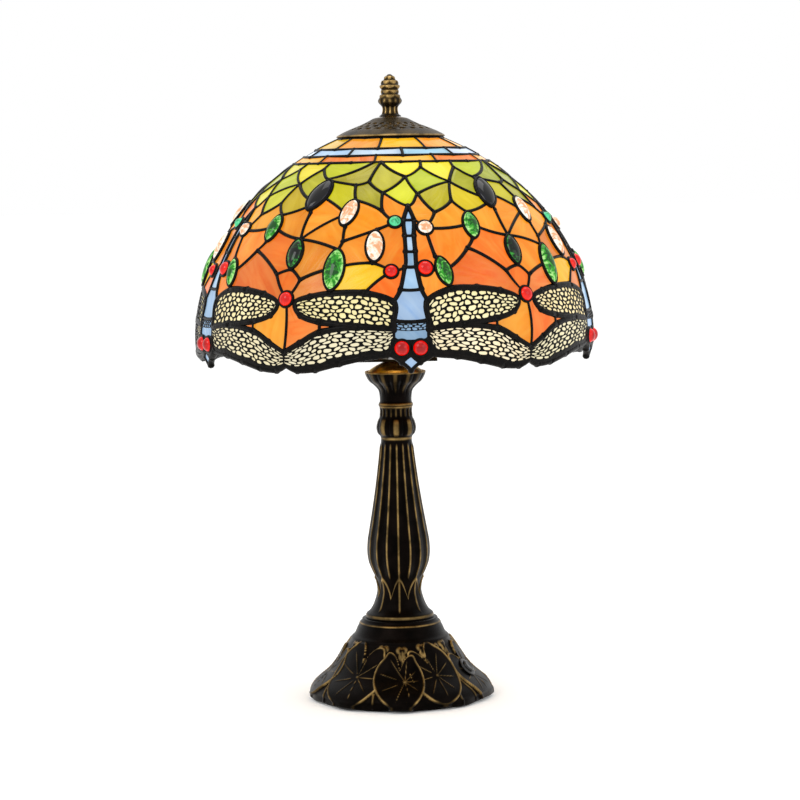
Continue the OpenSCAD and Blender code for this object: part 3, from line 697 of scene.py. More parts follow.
PANES = (
    PaneGroup("top_border_glass", "top_border_panes", "border_glass", (
        ("k2 k3 k4 l4 l3 l2", "#ffc400"), ("k4 k1+ k2+ l2+ l1+ l4", "#ffa51c"))),
    PaneGroup("blue_border_glass", "blue_border_panes", "blue_glass", (
        ("l1 l2 l3 m3 m2 m1", "#cfe6fb"), ("l3 l4 l1+ m1+ m4 m3", "#b9daf7"))),
    PaneGroup("lower_border_glass", "lower_border_panes", "border_glass", (
        ("m2 m3 m4 n6 n5 n4 n3 n2", "#ffb510"), ("m4 m1+ m2+ n2+ n1+ n7 n6", "#ff8c24"))),
    PaneGroup("canopy_glass", "canopy_panes", "canopy_glass", (
        ("n7 n1+ n2+ g1+ g9", "#dcd800"), ("g1 n2 n3 g3 g2", "#a8b008"), ("n3 g5 g4 g3", "#b4b608"),
        ("n3 n4 n5 g6 g5", "#ece000"), ("g4 g5 g8 t0", "#dcd400"), ("g6 g7 g8 g5", "#ccd008"),
        ("n5 n6 n7 g9 g7 g6", "#ecdf00"), ("g9 g1+ a2+ a3+ g7", "#b8b80c"), ("g8 g7 g15 g14", "#c4c008"),
        ("g7 a3+ d1 g15", "#dcc600"), ("g1 g2 g10 b2 a2", "#d6cc00"), ("g2 g3 g4 g12 g10", "#b0ac0c"))),
    PaneGroup("field_glass", "field_panes", "field_glass", (
        ("a2+ b2+ e1 a4+ a3+", "#ff9d18"), ("b2+ b3+ f0+ f1+ e1", "#ff9a18"),
        ("g10 g12 q1 c1 f0 b3 b2", "#ffa010"), ("e1 f1+ f2+ o1+ e3", "#ffa31c"),
        ("o1+ f2+ f3+ x3+ x4+ q5", "#f58f3c"), ("e3 o1+ q5 o2", "#fb8010"),
        ("o3 o2 q5 w4 w3 w2 h3 h2", "#f5832a"), ("d3 d2 e1 e3 o2 o3", "#f87a14"),
        ("d1 a3+ a4+ e1 d2", "#ff9a16"), ("q2 d2 d3 o3 h2 h1", "#ff8f1c"), ("g15 d1 d2 q2 g14", "#ffb020"),
        ("g8 g14 q2 r1 t0", "#ffab28"), ("r1 q2 h1 h2 q4 r4 r3 r2", "#ff961c"),
        ("r4 q4 h2 h3 r6 r5", "#ff9a28"), ("g4 t0 s1 q1 g12", "#ff9a20"),
        ("q1 s1 s2 s3 s4 q3 c3 c1", "#ff9418"), ("f0 c1 c3 f2 f1", "#ff9620"),
        ("f2 c3 q3 x2 f3", "#ffc010"), ("q3 s4 s5 s6 x2", "#f97e10"))),
    PaneGroup("cove_glass", "cove_panes", "field_glass", (
        ("q5 v1 w8 w7 w6 w5 w4", "#ffa42a"), ("w9 w6 w7", "#f08838"), ("x9 x7 x6", "#f08838"),
        ("q5 x4+ x5+ x6+ x7+ x8+ v1", "#f98c38"))),
    PaneGroup("upper_wing_glass", "upper_wing_panes", "wing_glass", (
        ("r6 h3 w2 w3 w4 w5 w6 w9 r8 r7", "#fff0bc"), ("s6 s7 s8 x9 x6 x5 x4 x3 f3 x2", "#ffeeb6")),
              0.6, 1.15),
    PaneGroup("lower_wing_glass", "lower_wing_panes", "wing_glass", (
        ("r8 w9 w7 w8 v1 v2 y1 y2 y3 y4 y5 r9", "#fdf1c8"),
        ("s8+ s9+ z5+ z4+ z3+ z2+ z1+ v2 v1 x8+ x7+ x9+", "#fff2cc")), 0.6, 1.1),
    PaneGroup("tail_glass", "tail_panes", "body_glass", (
        ("t0 r1 s1", "#a5cdf2"), ("s1 r1 r2 s2", "#a9d0f4"), ("s2 r2 r3 s3", "#b4d6f5"),
        ("s3 r3 r4 s4", "#a6ccef"), ("s4 r4 r5 s5", "#aed2f2")), 0.4, 0.9),
    PaneGroup("thorax_glass", "thorax_panes", "body_glass", (
        ("s5 r5 r6 r7 s7 s6", "#a9cdf0"), ("s7 r7 r8 r9 s9 s8", "#9cc4ea")), 0.4, 0.85),
    PaneGroup("nose_glass", "nose_panes", "body_glass", (("p1 p2 p3 p4", "#b9d6f0"),), 0.4, 0.8),
)
HEAD_ROW = "s9 r9 y5 p2 p1 p4 z5"


class Pattern:
    """The seams and panes of the shade, worked out from the junctions."""

    SAMPLES = 6
    BOW = 0.045
    MM_PER_DEG = 2.4

    def __init__(self) -> None:
        """Find each seam once, with the run it belongs to."""
        self.flow: dict[tuple, tuple] = {}
        for number, run in enumerate(FLOWING):
            keys = [self.parse(token) for token in run.split()]
            for i in range(len(keys) - 1):
                before = keys[i - 1] if i else None
                after = keys[i + 2] if i + 2 < len(keys) else None
                self.flow[(keys[i], keys[i + 1])] = (before, after, number)
        rows = [row for group in PANES for row, _ in group.rows] + [HEAD_ROW]
        self.seams: dict[tuple, None] = {}
        for row in rows:
            keys = self.keys(row)
            for a, b in zip(keys, keys[1:] + keys[:1]):
                self.seams.setdefault(self.settled(a, b)[0])

    @staticmethod
    def parse(token: str) -> tuple[str, int]:
        """Split a token into its junction and how many repeats on it lies."""
        return (token[:-1], {"+": 1, "-": -1}[token[-1]]) if token[-1] in "+-" else (token, 0)

    def keys(self, row: str) -> list[tuple[str, int]]:
        """The junctions of a pane's row."""
        return [self.parse(token) for token in row.split()]

    @staticmethod
    def settled(a: tuple, b: tuple) -> tuple[tuple, int, bool]:
        """One name for a seam, whichever way and in whichever repeat it is met.

        Args:
            a: the first junction and its repeat.
            b: the second junction and its repeat.

        Returns:
            The seam's name, how many repeats on it lies, and whether it runs backwards.
        """
        base = min(a[1], b[1])
        first, second = (a[0], a[1] - base), (b[0], b[1] - base)
        back = second < first
        return ((second, first) if back else (first, second)), base, back

    @staticmethod
    def place(key: tuple[str, int]) -> Array:
        """A junction's angle and drop."""
        u, s = JUNCTIONS[key[0]]
        return np.array([u + key[1] * REPEAT_DEG, s])

    def width(self, seam: tuple) -> float:
        """Half the width of a seam's bead."""
        run = self.found(seam)
        return THIN_BEAD if run is None else THICK_RUNS.get(run[2], THIN_BEAD)

    def found(self, seam: tuple):
        """The flowing run that a seam is part of, with its neighbours in the seam's own direction."""
        for shift in (0, -1, 1):
            a, b = ((k, n + shift) for k, n in seam)
            for first, second, back in ((a, b, False), (b, a, True)):
                if (first, second) in self.flow:
                    before, after, number = self.flow[(first, second)]
                    ends = [None if k is None else (k[0], k[1] - shift) for k in (before, after)]
                    return (*(ends[::-1] if back else ends), number)
        return None

    def line(self, seam: tuple) -> Array:
        """Points along a seam: a cardinal spline in a flowing run, or else a slight bow."""
        a, b = self.place(seam[0]), self.place(seam[1])
        t = np.linspace(0, 1, self.SAMPLES + 1)[:, None]
        run = self.found(seam)
        if run is None:
            ring = seam[0][0][0] in "klmn" and a[1] == b[1]
            sign = 1 if (ord(seam[0][0][-1]) + ord(seam[1][0][-1])) % 2 else -1
            bow = 0.0 if ring else self.BOW * sign
            chord = b - a
            side = np.array([-chord[1] / self.MM_PER_DEG, chord[0] * self.MM_PER_DEG])
            return a + chord * t + side * bow * 4 * t * (1 - t)
        before = self.place(run[0]) if run[0] else 2 * a - b
        after = self.place(run[1]) if run[1] else 2 * b - a
        return 0.5 * (2 * a + (b - before) * t + (2 * before - 5 * a + 4 * b - after) * t**2
                      + (3 * a - before - 3 * b + after) * t**3)

    def outline(self, row: str) -> Array:
        """The closed outline of a pane, as angle and drop, with no point twice."""
        keys = self.keys(row)
        runs = []
        for a, b in zip(keys, keys[1:] + keys[:1]):
            seam, base, back = self.settled(a, b)
            run = self.line(seam) + [base * REPEAT_DEG, 0]
            runs.append((run[::-1] if back else run)[:-1])
        return np.vstack(runs)


# ---- the shade ------------------------------------------------------------------------------
@dataclass
class Shade:
    """Panes, beads of solder, filigree and jewels, all laid on one dome."""

    dome: Dome = field(default_factory=Dome)
    pattern: Pattern = field(default_factory=Pattern)
    glass_t: float = 3.0
    bead_out: float = 1.0
    pane_gap: float = 0.5
    flatness: float = 0.45

    def __post_init__(self) -> None:
        """Start the seeded draw for the glass's own variation."""
        self.draw = np.random.default_rng(SEED)

    def flattened(self, outline: Array) -> tuple[Array, Array]:
        """Lay an outline flat in millimetres about its middle.

        Args:
            outline: angle and drop rows.

        Returns:
            The flat rows, and the middle as angle and drop: the mean of the outline by area.
        """
        around = math.radians(1) * self.dome.radius(outline[:, 1])
        middle_u = outline[:, 0].mean()
        flat = np.stack([(outline[:, 0] - middle_u) * around, outline[:, 1]], axis=1)
        nxt = np.roll(flat, -1, 0)
        cross = flat[:, 0] * nxt[:, 1] - nxt[:, 0] * flat[:, 1]
        centre = ((flat + nxt) * cross[:, None]).sum(0) / (3 * cross.sum())
        flat -= centre
        shift = centre[0] / (math.radians(1) * self.dome.radius(centre[1]))
        return flat, np.array([middle_u, centre[1]]) + [shift, 0]

    def unflattened(self, flat: Array, middle: Array) -> tuple[Array, Array]:
        """Angle and drop of flat places about a middle."""
        s = flat[..., 1] + middle[1]
        return middle[0] + flat[..., 0] / (math.radians(1) * self.dome.radius(s)), s

    def pane(self, row: str, repeat: int, lift: float, thick: float, gap: float) -> tuple[Surface, Array]:
        """One piece of glass: rings shrunk from the outline to its middle, front and back.

        Args:
            row: the seams round the pane.
            repeat: which repeat it lies in.
            lift: how far its front stands out from the dome.
            thick: its thickness.
            gap: how far its edge stays inside the seams.

        Returns:
            The closed piece, and its points' flat places.
        """
        outline = self.pattern.outline(row) + [repeat * REPEAT_DEG, 0]
        flat, middle = self.flattened(outline)
        ahead = np.roll(flat, -1, 0) - np.roll(flat, 1, 0)
        ahead /= np.maximum(np.linalg.norm(ahead, axis=1, keepdims=True), 1e-9)
        area = (flat[:, 0] * np.roll(flat[:, 1], -1) - np.roll(flat[:, 0], -1) * flat[:, 1]).sum()
        inward = np.stack([-ahead[:, 1], ahead[:, 0]], axis=1) * np.sign(area)
        flat = flat + inward * gap
        shrink = np.array([1.0, 0.8, 0.55, 0.28, 0.0])[:, None, None]
        places = flat[None] * shrink
        u, s = self.unflattened(places, middle)
        front = self.dome.point(u, s, lift)
        centre, n = self.dome.point(*middle, lift), self.dome.normal(*middle)
        off = (front - centre) @ n
        level = off[0].mean()
        front = front - (off - level)[..., None] * n * self.flatness * (1 - shrink**2 * 0.3)
        back = front - self.dome.normal(u, s) * thick
        rings, count = shrink.shape[0], len(flat)
        total = rings * count
        edge = np.arange(count)
        nxt = np.roll(edge, -1)
        faces = sheet_faces(rings, count, wrap_columns=True)
        walls = np.stack([edge, nxt, nxt + total, edge + total], axis=1)
        points = np.concatenate([front.reshape(-1, 3), back.reshape(-1, 3)])
        flat_places = np.tile(places.reshape(-1, 2), (2, 1))
        return Surface(points, [np.concatenate([faces, faces[:, ::-1] + total, walls])]), flat_places

    def glass(self, group: PaneGroup, material: bpy.types.Material) -> None:
        """Cut every pane of a group, each with its own shade of the colour, its own streaks and its own
        painted glow of the bulb's light, dimmer towards its edges.
        """
        parts = []
        for repeat in range(REPEATS):
            for row, code in group.rows:
                surface, flat = self.pane(row, repeat, 0.0, self.glass_t, self.pane_gap)
                lean, offset = self.draw.uniform(0, math.pi), self.draw.uniform(-900, 900, 3)
                spread = 0.05 - 0.06 * group.whitish
                tone = self.draw.normal(1, spread, 3) * self.draw.normal(1, spread + 0.01)
                if repeat:
                    tone = tone * self.draw.normal(0.95, spread + 0.02)
                colour = np.clip(np.array(linear(code)[:3]) * tone, 0, 1)
                colour += (1 - colour) * group.whitish * 0.1
                run = np.array([[math.cos(lean), math.sin(lean)], [-math.sin(lean), math.cos(lean)]])
                streak = np.column_stack([flat @ run, np.zeros(len(flat))]) + offset
                count = len(flat)
                # Painted light: the glow is brightest in the pane's middle and fades by about a fifth towards
                # its edges.
                edge = np.linalg.norm(flat, axis=1)
                glow = group.glow * (1.06 - 0.22 * edge / max(edge.max(), 1)) * self.draw.normal(1, 0.05)
                surface.layers = {
                    "tint": np.tile([*colour, 1.0], (count, 1)), "streak": streak, "glow": glow,
                }
                parts.append(surface)
        joined(parts).piece(group.name, material, Body.SHADE, group.slot, (group.node,))

    def beads(self, material: bpy.types.Material) -> None:
        """Run a bead of solder over each seam, swelling where seams meet, and a blob at each joint.

        A bead's section is an oval as high as the glass is thick plus what stands proud on both faces.
        """
        parts = []
        mid = -self.glass_t / 2
        high = self.glass_t / 2 + self.bead_out
        for seam in self.pattern.seams:
            line = self.pattern.line(seam)
            width = self.pattern.width(seam)
            t = np.linspace(-1, 1, len(line))
            half_w = width * (1 + 0.3 * t**6) * self.draw.normal(1, 0.05)
            half_h = np.full(len(line), high) * self.draw.normal(1, 0.03) + 0.3 * (width > THIN_BEAD)
            for repeat in range(REPEATS):
                u, s = line[:, 0] + repeat * REPEAT_DEG, line[:, 1]
                parts.append(swept(self.dome.point(u, s, mid), self.dome.normal(u, s), half_w, half_h, 10))
        parts += self.blobs(mid, high)
        joined(parts).piece("solder_beads", material, Body.SHADE, "solder", ("lead_came",))

    def blobs(self, mid: float, high: float) -> list[Surface]:
        """Flattened balls of solder where seams meet."""
        count: dict[tuple, float] = {}
        for seam in self.pattern.seams:
            for name, shift in seam:
                count[name] = max(count.get(name, 0), self.pattern.width(seam))
        parts = []
        for name, width in count.items():
            u, s = JUNCTIONS[name]
            size = (width + 0.75) * self.draw.normal(1, 0.06)
            for repeat in range(REPEATS):
                at = (u + repeat * REPEAT_DEG, s, mid)
                parts.append(self.ball(*at, size, size, high + 0.3, 0.0, 10, 6))
        return parts

    def ball(self, u: float, s: float, lift: float, half_w: float, half_l: float, high: float,
             lean: float, sides: int, rings: int, lowest: float = -90.0, point: float = 0.0) -> Surface:
        """Part of an ellipsoid on the dome, with its long half along the dome turned by lean degrees.

        Args:
            u: angle of its middle.
            s: drop of its middle.
            lift: height of its widest level.
            half_w: half its width.
            half_l: half its length.
            high: its height above the widest level.
            lean: degrees it leans to the right at its top.
            sides: points round it.
            rings: levels from its lowest latitude to its top.
            lowest: the latitude where it is cut off flat.
            point: 0 for round ends, rising as they draw to a point.

        Returns:
            The closed piece, with its crown value of 0 at the widest level and 1 at the top.
        """
        axis_w, axis_l, up = self.axes(u, s, lean)
        lat = np.radians(np.linspace(lowest, 90, rings))[:, None]
        lon = np.linspace(0, 2 * math.pi, sides, endpoint=False)[None, :]
        spread = np.where(np.isclose(lat, math.pi / 2) | np.isclose(lat, -math.pi / 2), 0, np.cos(lat))
        across = np.cos(lon) * np.abs(np.cos(lon)) ** point
        x, y, z = spread * across * half_w, spread * np.sin(lon) * half_l, np.sin(lat) * high
        z = np.broadcast_to(z, x.shape)
        points = self.dome.point(u, s, lift) + x[..., None] * axis_w + y[..., None] * axis_l
        points = points + z[..., None] * up
        faces = [sheet_faces(rings, sides, wrap_columns=True)]
        if lowest > -89:
            faces.append(np.arange(sides)[None, :])
        crown = np.clip(np.broadcast_to(np.sin(lat), x.shape), 0, 1).ravel()
        return Surface(points.reshape(-1, 3), faces, {"crown": crown})

    def axes(self, u: float, s: float, lean: float) -> tuple[Array, Array, Array]:
        """Directions across, along and out of the dome at a place, turned by lean degrees."""
        up, a = self.dome.normal(u, s), math.radians(u + self.dome.turn_deg)
        right = np.array([math.cos(a), math.sin(a), 0])
        along = np.cross(up, right)
        c, d = math.cos(math.radians(lean)), math.sin(math.radians(lean))
        return right * c - along * d, along * c + right * d, up

    def head(self, material: bpy.types.Material) -> None:
        """The solid metal plates behind the eyes."""
        parts = [self.pane(HEAD_ROW, k, 1.1, self.glass_t + 2.2, 0.0)[0] for k in range(REPEATS)]
        joined(parts).piece("head_plates", material, Body.SHADE, "solder", ("lead_came",))


@dataclass(frozen=True)
class Jewel:
    """A cabochon's place on the dome, its halves across, along and high, its lean and its point."""

    u: float
    s: float
    half_w: float
    half_l: float
    high: float
    lean: float = 0.0
    point: float = 0.0


@dataclass(frozen=True)
class JewelKind:
    """Jewels of one colour."""

    name: str
    node: str
    slot: str
    finish: CastJewel
    jewels: tuple[Jewel, ...]


JEWELS = (
    JewelKind("dragonfly_eyes", "eye_jewels", "red_jewel",
              CastJewel("ruby_glass", "#ff1400", "#e00600", "#a00000", 0.9, 0.3), (
                  Jewel(-2.5, 200.5, 5.3, 5.3, 4.6), Jewel(2.5, 200.5, 5.3, 5.3, 4.6))),
    JewelKind("red_drops", "red_jewels", "red_jewel",
              CastJewel("red_glass", "#ff2a08", "#f01400", "#c80600", 0.95, 0.4), (
                  Jewel(-5, 145, 4.4, 4.4, 3.8), Jewel(5, 143, 5.2, 5.2, 4.2),
                  Jewel(36, 165, 5.2, 5.2, 4.2))),
    JewelKind("green_ovals", "green_jewels", "green_jewel",
              CastJewel("leaf_glass", "#b4f08c", "#2fa81e", "#064d0c", 0.85, 0.9), (
                  Jewel(23, 109, 5.6, 11, 3.8, 4, 0.3), Jewel(-22, 143, 7, 15.5, 4.3, 5, 0.25),
                  Jewel(10.5, 145.5, 5, 10.8, 3.8, -14, 0.3))),
    JewelKind("mint_drops", "green_jewels", "green_jewel",
              CastJewel("mint_glass", "#3fd08a", "#5ee0a0", "#1f9a5c", 0.9, 0.8), (
                  Jewel(-3.5, 105, 4.3, 4.3, 3.7),)),
    JewelKind("pearl_ovals", "pearl_jewels", "pearl_jewel",
              CastJewel("amber_white_glass", "#fffaf2", "#ffe6cc", "#e8a878", 0.95, 1.2), (
                  Jewel(6.5, 110.5, 5.2, 5.2, 4), Jewel(-20, 96, 5.4, 11.5, 3.8, 14, 0.1),
                  Jewel(-10, 125, 6, 12, 3.8, 0, 0.1))),
    JewelKind("dark_ovals", "dark_jewels", "dark_jewel",
              CastJewel("night_glass", "#080c2c", "#020208", "#010103", 0.5, 0.4), (
                  Jewel(-35, 78.5, 7.2, 15, 3.6, 14, 0.35),)),
    JewelKind("bottle_green_ovals", "dark_jewels", "dark_jewel",
              CastJewel("bottle_glass", "#3aa838", "#0a3a10", "#020a04", 0.8, 0.8), (
                  Jewel(36, 130.5, 5.6, 11.5, 3.7, 2, 0.35),)),
)


@dataclass
class Setting:
    """Sets the jewels on the shade, each inside a bead of solder."""

    shade: Shade
    seat: float = 0.4
    bezel: float = 1.2

    def build(self, solder: bpy.types.Material) -> None:
        """Make every kind of jewel, and all their bezels as one piece."""
        bezels = []
        for kind in JEWELS:
            parts = []
            for repeat in range(REPEATS):
                for j in kind.jewels:
                    u = j.u + repeat * REPEAT_DEG
                    sizes = (j.half_w, j.half_l, j.high, j.lean)
                    parts.append(self.shade.ball(u, j.s, self.seat, *sizes, 28, 8, -20, j.point))
                    bezels.append(self.ring(u, j))
            joined(parts).piece(kind.name, kind.finish.build(), Body.SHADE, kind.slot, (kind.node,))
        joined(bezels).piece("jewel_bezels", solder, Body.SHADE, "solder", ("lead_came",))

    def ring(self, u: float, j: Jewel) -> Surface:
        """A bead that runs round one jewel at its widest level."""
        axis_w, axis_l, up = self.shade.axes(u, j.s, j.lean)
        t = np.linspace(0, 2 * math.pi, 24, endpoint=False)[:, None]
        across = np.cos(t) * np.abs(np.cos(t)) ** j.point
        path = self.shade.dome.point(u, j.s, self.seat - 0.2) + (j.half_w + 0.5) * across * axis_w
        path = path + (j.half_l + 0.5) * np.sin(t) * axis_l
        size = np.full(24, self.bezel)
        return swept(path, np.tile(up, (24, 1)), size, size * 1.25, 8, True)


@dataclass(frozen=True)
class Plate:
    """One wing's plate: its long edges, its rows and columns of holes, and its plain strips."""

    top: str
    bottom: str
    rows: int
    columns: int
    above: float
    below: float


@dataclass
class Filigree:
    """Etched metal over the wings: rows of pebble-shaped holes that wander from root to tip."""

    shade: Shade
    lift: float = 0.55
    thick: float = 0.5
    squareness: float = 0.68
    plates: tuple[Plate, ...] = (
        Plate("r6 h3 w2 w3 w4", "r8 w9 w6 w5", 6, 13, 0.09, 0.09),
        Plate("r8 w9 w7 w8 v1", "r9 y5 y4 y3 y2 y1 v2", 7, 13, 0.07, 0.17),
        Plate("s6 x2 f3 x3 x4", "s8 x9 x6 x5", 6, 13, 0.09, 0.09),
        Plate("s8 x9 x7 x8 v1-", "s9 z5 z4 z3 z2 z1 v2-", 7, 13, 0.07, 0.17),
        Plate("s7 r7", "s8 r8", 3, 6, 0.05, 0.05),
    )

    def edge(self, run: str) -> tuple[Array, Array]:
        """A wing's long edge in flat millimetres, with the part of its length reached at each point."""
        pattern, keys = self.shade.pattern, self.shade.pattern.keys(run)
        rows = []
        for a, b in zip(keys, keys[1:]):
            seam, base, back = pattern.settled(a, b)
            line = pattern.line(seam) + [base * REPEAT_DEG, 0]
            rows.append((line[::-1] if back else line)[:-1])
        line = np.vstack([*rows, pattern.place(keys[-1])[None]])
        along = np.concatenate([[0], np.cumsum(np.hypot(np.diff(line[:, 0]) * 2.5, np.diff(line[:, 1])))])
        return line, along / along[-1]

    def place(self, top: tuple, bottom: tuple, a: Array, b: Array) -> Array:
        """Angle and drop at part a of the wing's length and part b of the way from top to bottom."""
        ends = [np.stack([np.interp(a, f, line[:, i]) for i in (0, 1)], axis=-1) for line, f in (top, bottom)]
        return ends[0] * (1 - b[..., None]) + ends[1] * b[..., None]

    def plate(self, wing: Plate, repeat: int) -> Surface:
        """One wing's plate, made of cells in brick order between two plain strips.

        Each cell is a ring between a rounded oblong hole and twelve points on the cell's border, which
        match the cells beside, above and below it. All of them then wander together by slow waves.

        Args:
            wing: the plate's edges and holes.
            repeat: which repeat it lies in.

        Returns:
            The open sheet, before it gets its thickness.
        """
        top, bottom = self.edge(wing.top), self.edge(wing.bottom)
        rows, columns = wing.rows, wing.columns
        angle = np.arctan2(BORDER_B * 1.15, BORDER_A)
        row, column = brick_places(rows, columns)
        odd = row % 2
        keep = ~((odd == 1) & (column == columns - 1))
        row, column, odd = row[keep], column[keep], odd[keep]
        centre_a = (column + 0.5 + 0.5 * odd)[:, None]
        centre_b = (row + 0.5)[:, None]
        draw, count = self.shade.draw, (len(row), 1)
        half_a, half_b = draw.uniform(0.35, 0.45, count), draw.uniform(0.34, 0.44, count)
        lean = draw.normal(0, 0.08, count)
        along, across = (half * np.sign(wave) * np.abs(wave) ** self.squareness
                         for half, wave in ((half_a, np.cos(angle)), (half_b, np.sin(angle))))
        hole = np.stack([centre_a + along - across * lean, centre_b + across + along * lean], axis=-1)
        border = np.stack([centre_a + BORDER_A, centre_b + BORDER_B], axis=-1)
        ab = np.concatenate([border.reshape(-1, 2), hole.reshape(-1, 2)]) / [columns, rows]
        ends = [self.half_cells(np.arange(1, rows, 2), rows, columns, side) for side in (0, 1)]
        sheet = joined([Surface(np.pad(ab, ((0, 0), (0, 1))), [ring_faces(len(row))]), *ends])
        sheet.points[:, 1] = wing.above + sheet.points[:, 1] * (1 - wing.above - wing.below)
        plain = ((0, wing.above), (1 - wing.below, 1))
        strips = [self.strip(first, last, columns) for first, last in plain]
        sheet = joined([sheet, *strips])
        a, b = self.wander(sheet.points[:, 0], sheet.points[:, 1], wing, draw.uniform(0, 6.28, 4))
        spot = self.place(top, bottom, a, b)
        sheet.points = self.shade.dome.point(spot[:, 0] + repeat * REPEAT_DEG, spot[:, 1], self.lift)
        return sheet

    @staticmethod
    def strip(first: float, last: float, columns: int) -> Surface:
        """A plain strip along the wing, with points that match the cells beside it."""
        a, b = np.meshgrid(np.arange(4 * columns + 1) / (4 * columns), np.linspace(first, last, 3))
        return Surface(np.stack([a, b, 0 * a], axis=-1).reshape(-1, 3), [sheet_faces(3, 4 * columns + 1)])

    @staticmethod
    def wander(a: Array, b: Array, wing: Plate, phase: Array) -> tuple[Array, Array]:
        """Shift places by two waves each way, a cell or two long, that die out at the plate's edges."""
        x, y = a * wing.columns, b * wing.rows
        room = np.clip(np.minimum(np.minimum(x, wing.columns - x), np.minimum(y, wing.rows - y)), 0, 1)
        shift_a = 0.15 * np.sin(2.1 * x + 1.3 * y + phase[0]) + 0.1 * np.sin(1.1 * x - 2.7 * y + phase[1])
        shift_b = 0.14 * np.sin(1.7 * x - 1.9 * y + phase[2]) + 0.09 * np.sin(2.9 * x + 0.8 * y + phase[3])
        return a + shift_a * room / wing.columns, b + shift_b * room / wing.rows

    @staticmethod
    def half_cells(which: Array, rows: int, columns: int, side: int) -> Surface:
        """Solid half cells that fill the ends of every second row."""
        a = (side * (1 - 0.5 / columns) + np.array([0, 0.25, 0.5]) / columns)[None, None, :]
        b = ((which[:, None] + np.array([0, 0.5, 1])[None, :]) / rows)[:, :, None]
        points = np.stack(np.broadcast_arrays(a, b, 0.0 * a), axis=-1).reshape(-1, 3)
        faces = np.concatenate([sheet_faces(3, 3) + 9 * i for i in range(len(which))])
        return Surface(points, [faces])

    def build(self, material: bpy.types.Material) -> None:
        """Make all the wings' plates as one piece and give them their thickness."""
        parts = [self.plate(wing, k) for k in range(REPEATS) for wing in self.plates]
        piece = joined(parts).piece("wing_filigree_plates", material, Body.SHADE, "solder",
                                    ("wing_filigree",))
        thicken(piece, self.thick, 0)


# ---- cap and finial -------------------------------------------------------------------------
@dataclass
class Cap:
    """The pierced cap over the shade's top opening."""

    holes: int = 22
    rows: int = 3
    pierced: tuple[float, float] = (0.3, 0.72)
    thick: float = 1.3
    band_rows: int = 14
    outline: tuple = ((9, 446.4), (13, 445.5), (17.5, 443.2), (21.8, 441.1), (28.7, 438.4), (34.5, 436),
                      (38.5, 434), (41, 432.6), (41.5, 431.6))

    def build(self, bronze: bpy.types.Material) -> None:
        """Turn the cap as cells in brick order, with a hole in each, between plain bands."""
        outline = rounded(self.outline, 0.5)
        columns, (low, high) = self.holes, self.pierced
        angle = np.arctan2(BORDER_B * 1.1, BORDER_A)
        row, column = brick_places(self.rows, columns)
        middle_a, middle_b = (column + 0.5 * (row % 2))[:, None], (row + 0.5)[:, None]
        a = np.concatenate([(middle_a + BORDER_A).ravel(), (middle_a + 0.24 * np.cos(angle)).ravel()])
        b = np.concatenate([(middle_b + BORDER_B).ravel(), (middle_b + 0.34 * np.sin(angle)).ravel()])
        parts = [self.bent(a / columns, low + (high - low) * b / self.rows, outline, ring_faces(len(row)))]
        around = np.arange(columns * 4) / (columns * 4)
        faces = sheet_faces(self.band_rows, columns * 4, wrap_columns=True)
        for first, last in ((0.0, low), (high, 1.0)):
            grid = np.meshgrid(around, np.linspace(first, last, self.band_rows))
            parts.append(self.bent(grid[0].ravel(), grid[1].ravel(), outline, faces))
        piece = joined(parts).piece("pierced_cap", bronze, Body.SHADE, "bronze", ("vase_cap",))
        thicken(piece, self.thick, -1)

    @staticmethod
    def bent(a: Array, b: Array, outline: Array, faces: Array) -> Surface:
        """Bend a strip round the axis: a is the part of a turn and b the part of the outline."""
        share = np.linspace(0, 1, len(outline))
        r, z = (np.interp(b, share, outline[:, i]) for i in (0, 1))
        turn = 2 * math.pi * a
        points = np.stack([r * np.sin(turn), -r * np.cos(turn), z], axis=-1)
        rim = 0.8 * smooth_step(b, 0.93, 0.99) * (1 - smooth_step(b, 0.995, 1.0))
        rub = 0.2 + rim + 0.5 * (1 - smooth_step(b, 0, 0.1))
        return Surface(points, [faces], {"rub": rub})


@dataclass
class Finial:
    """A small acorn of overlapping leaves on a fluted neck."""

    outline: tuple = ((0, 446.8), (7.6, 446.8), (8.2, 447.4), (6.6, 448.8), (5.8, 451), (5.8, 453.5),
                      (7, 455.4), (8.5, 457.2), (8.8, 459.3), (7.6, 461.8), (6.4, 464),
                      (6.2, 466.6), (7.2, 469.2), (6.2, 472), (4.6, 474.8),
                      (2.8, 477.4), (1.2, 478.8), (0, 479))

    def relief(self, az: Array, r: Array, z: Array) -> tuple[Array, Array]:
        """Flutes on the neck, and rows of pointed leaves above it that are offset row by row."""
        neck = band(z, (448.5, 450), (453.5, 455))
        flutes = np.cos(np.radians(10 * az))
        row_height = 3.6
        row = np.floor((z - 460) / row_height)
        phase = (z - 460) / row_height - row
        tips = np.abs(np.cos(np.radians(3 * az + 90 * (row % 2))))
        leaf = smooth_step(phase - 0.55 * (1 - tips), 0.0, 0.45) * (1 - smooth_step(phase, 0.8, 1.0))
        upper = band(z, (459.5, 461.5), (476, 478.5))
        ring = bell(z - 458.6, 1.6) * np.cos(np.radians(12 * az))
        out = 0.4 * flutes * neck + 0.75 * leaf * upper + 0.25 * ring
        rub = 0.15 + neck * smooth_step(flutes, 0.3, 1) * 0.7 + upper * leaf * 0.75
        return out, rub + 0.6 * np.maximum(ring, 0)

    def build(self, bronze: bpy.types.Material) -> None:
        """Turn the finial."""
        profile = rounded(self.outline, 0.3)
        profile[0, 0] = profile[-1, 0] = 0
        turned(profile, 120, self.relief).piece("leafy_finial", bronze, Body.FINIAL, "bronze", ("finial",))


# ---- base -----------------------------------------------------------------------------------
@dataclass(frozen=True)
class LilyPad:
    """A leaf on the base.

    Its vein centre is az degrees round and drop millimetres down the skirt. Its outline has a radius
    of size, is tall times as high as wide, and its middle lies side millimetres off the veins.
    """

    az: float
    drop: float
    size: float
    notch: float = 180.0
    tall: float = 1.2
    lift: float = 1.0
    side: float = 0.0


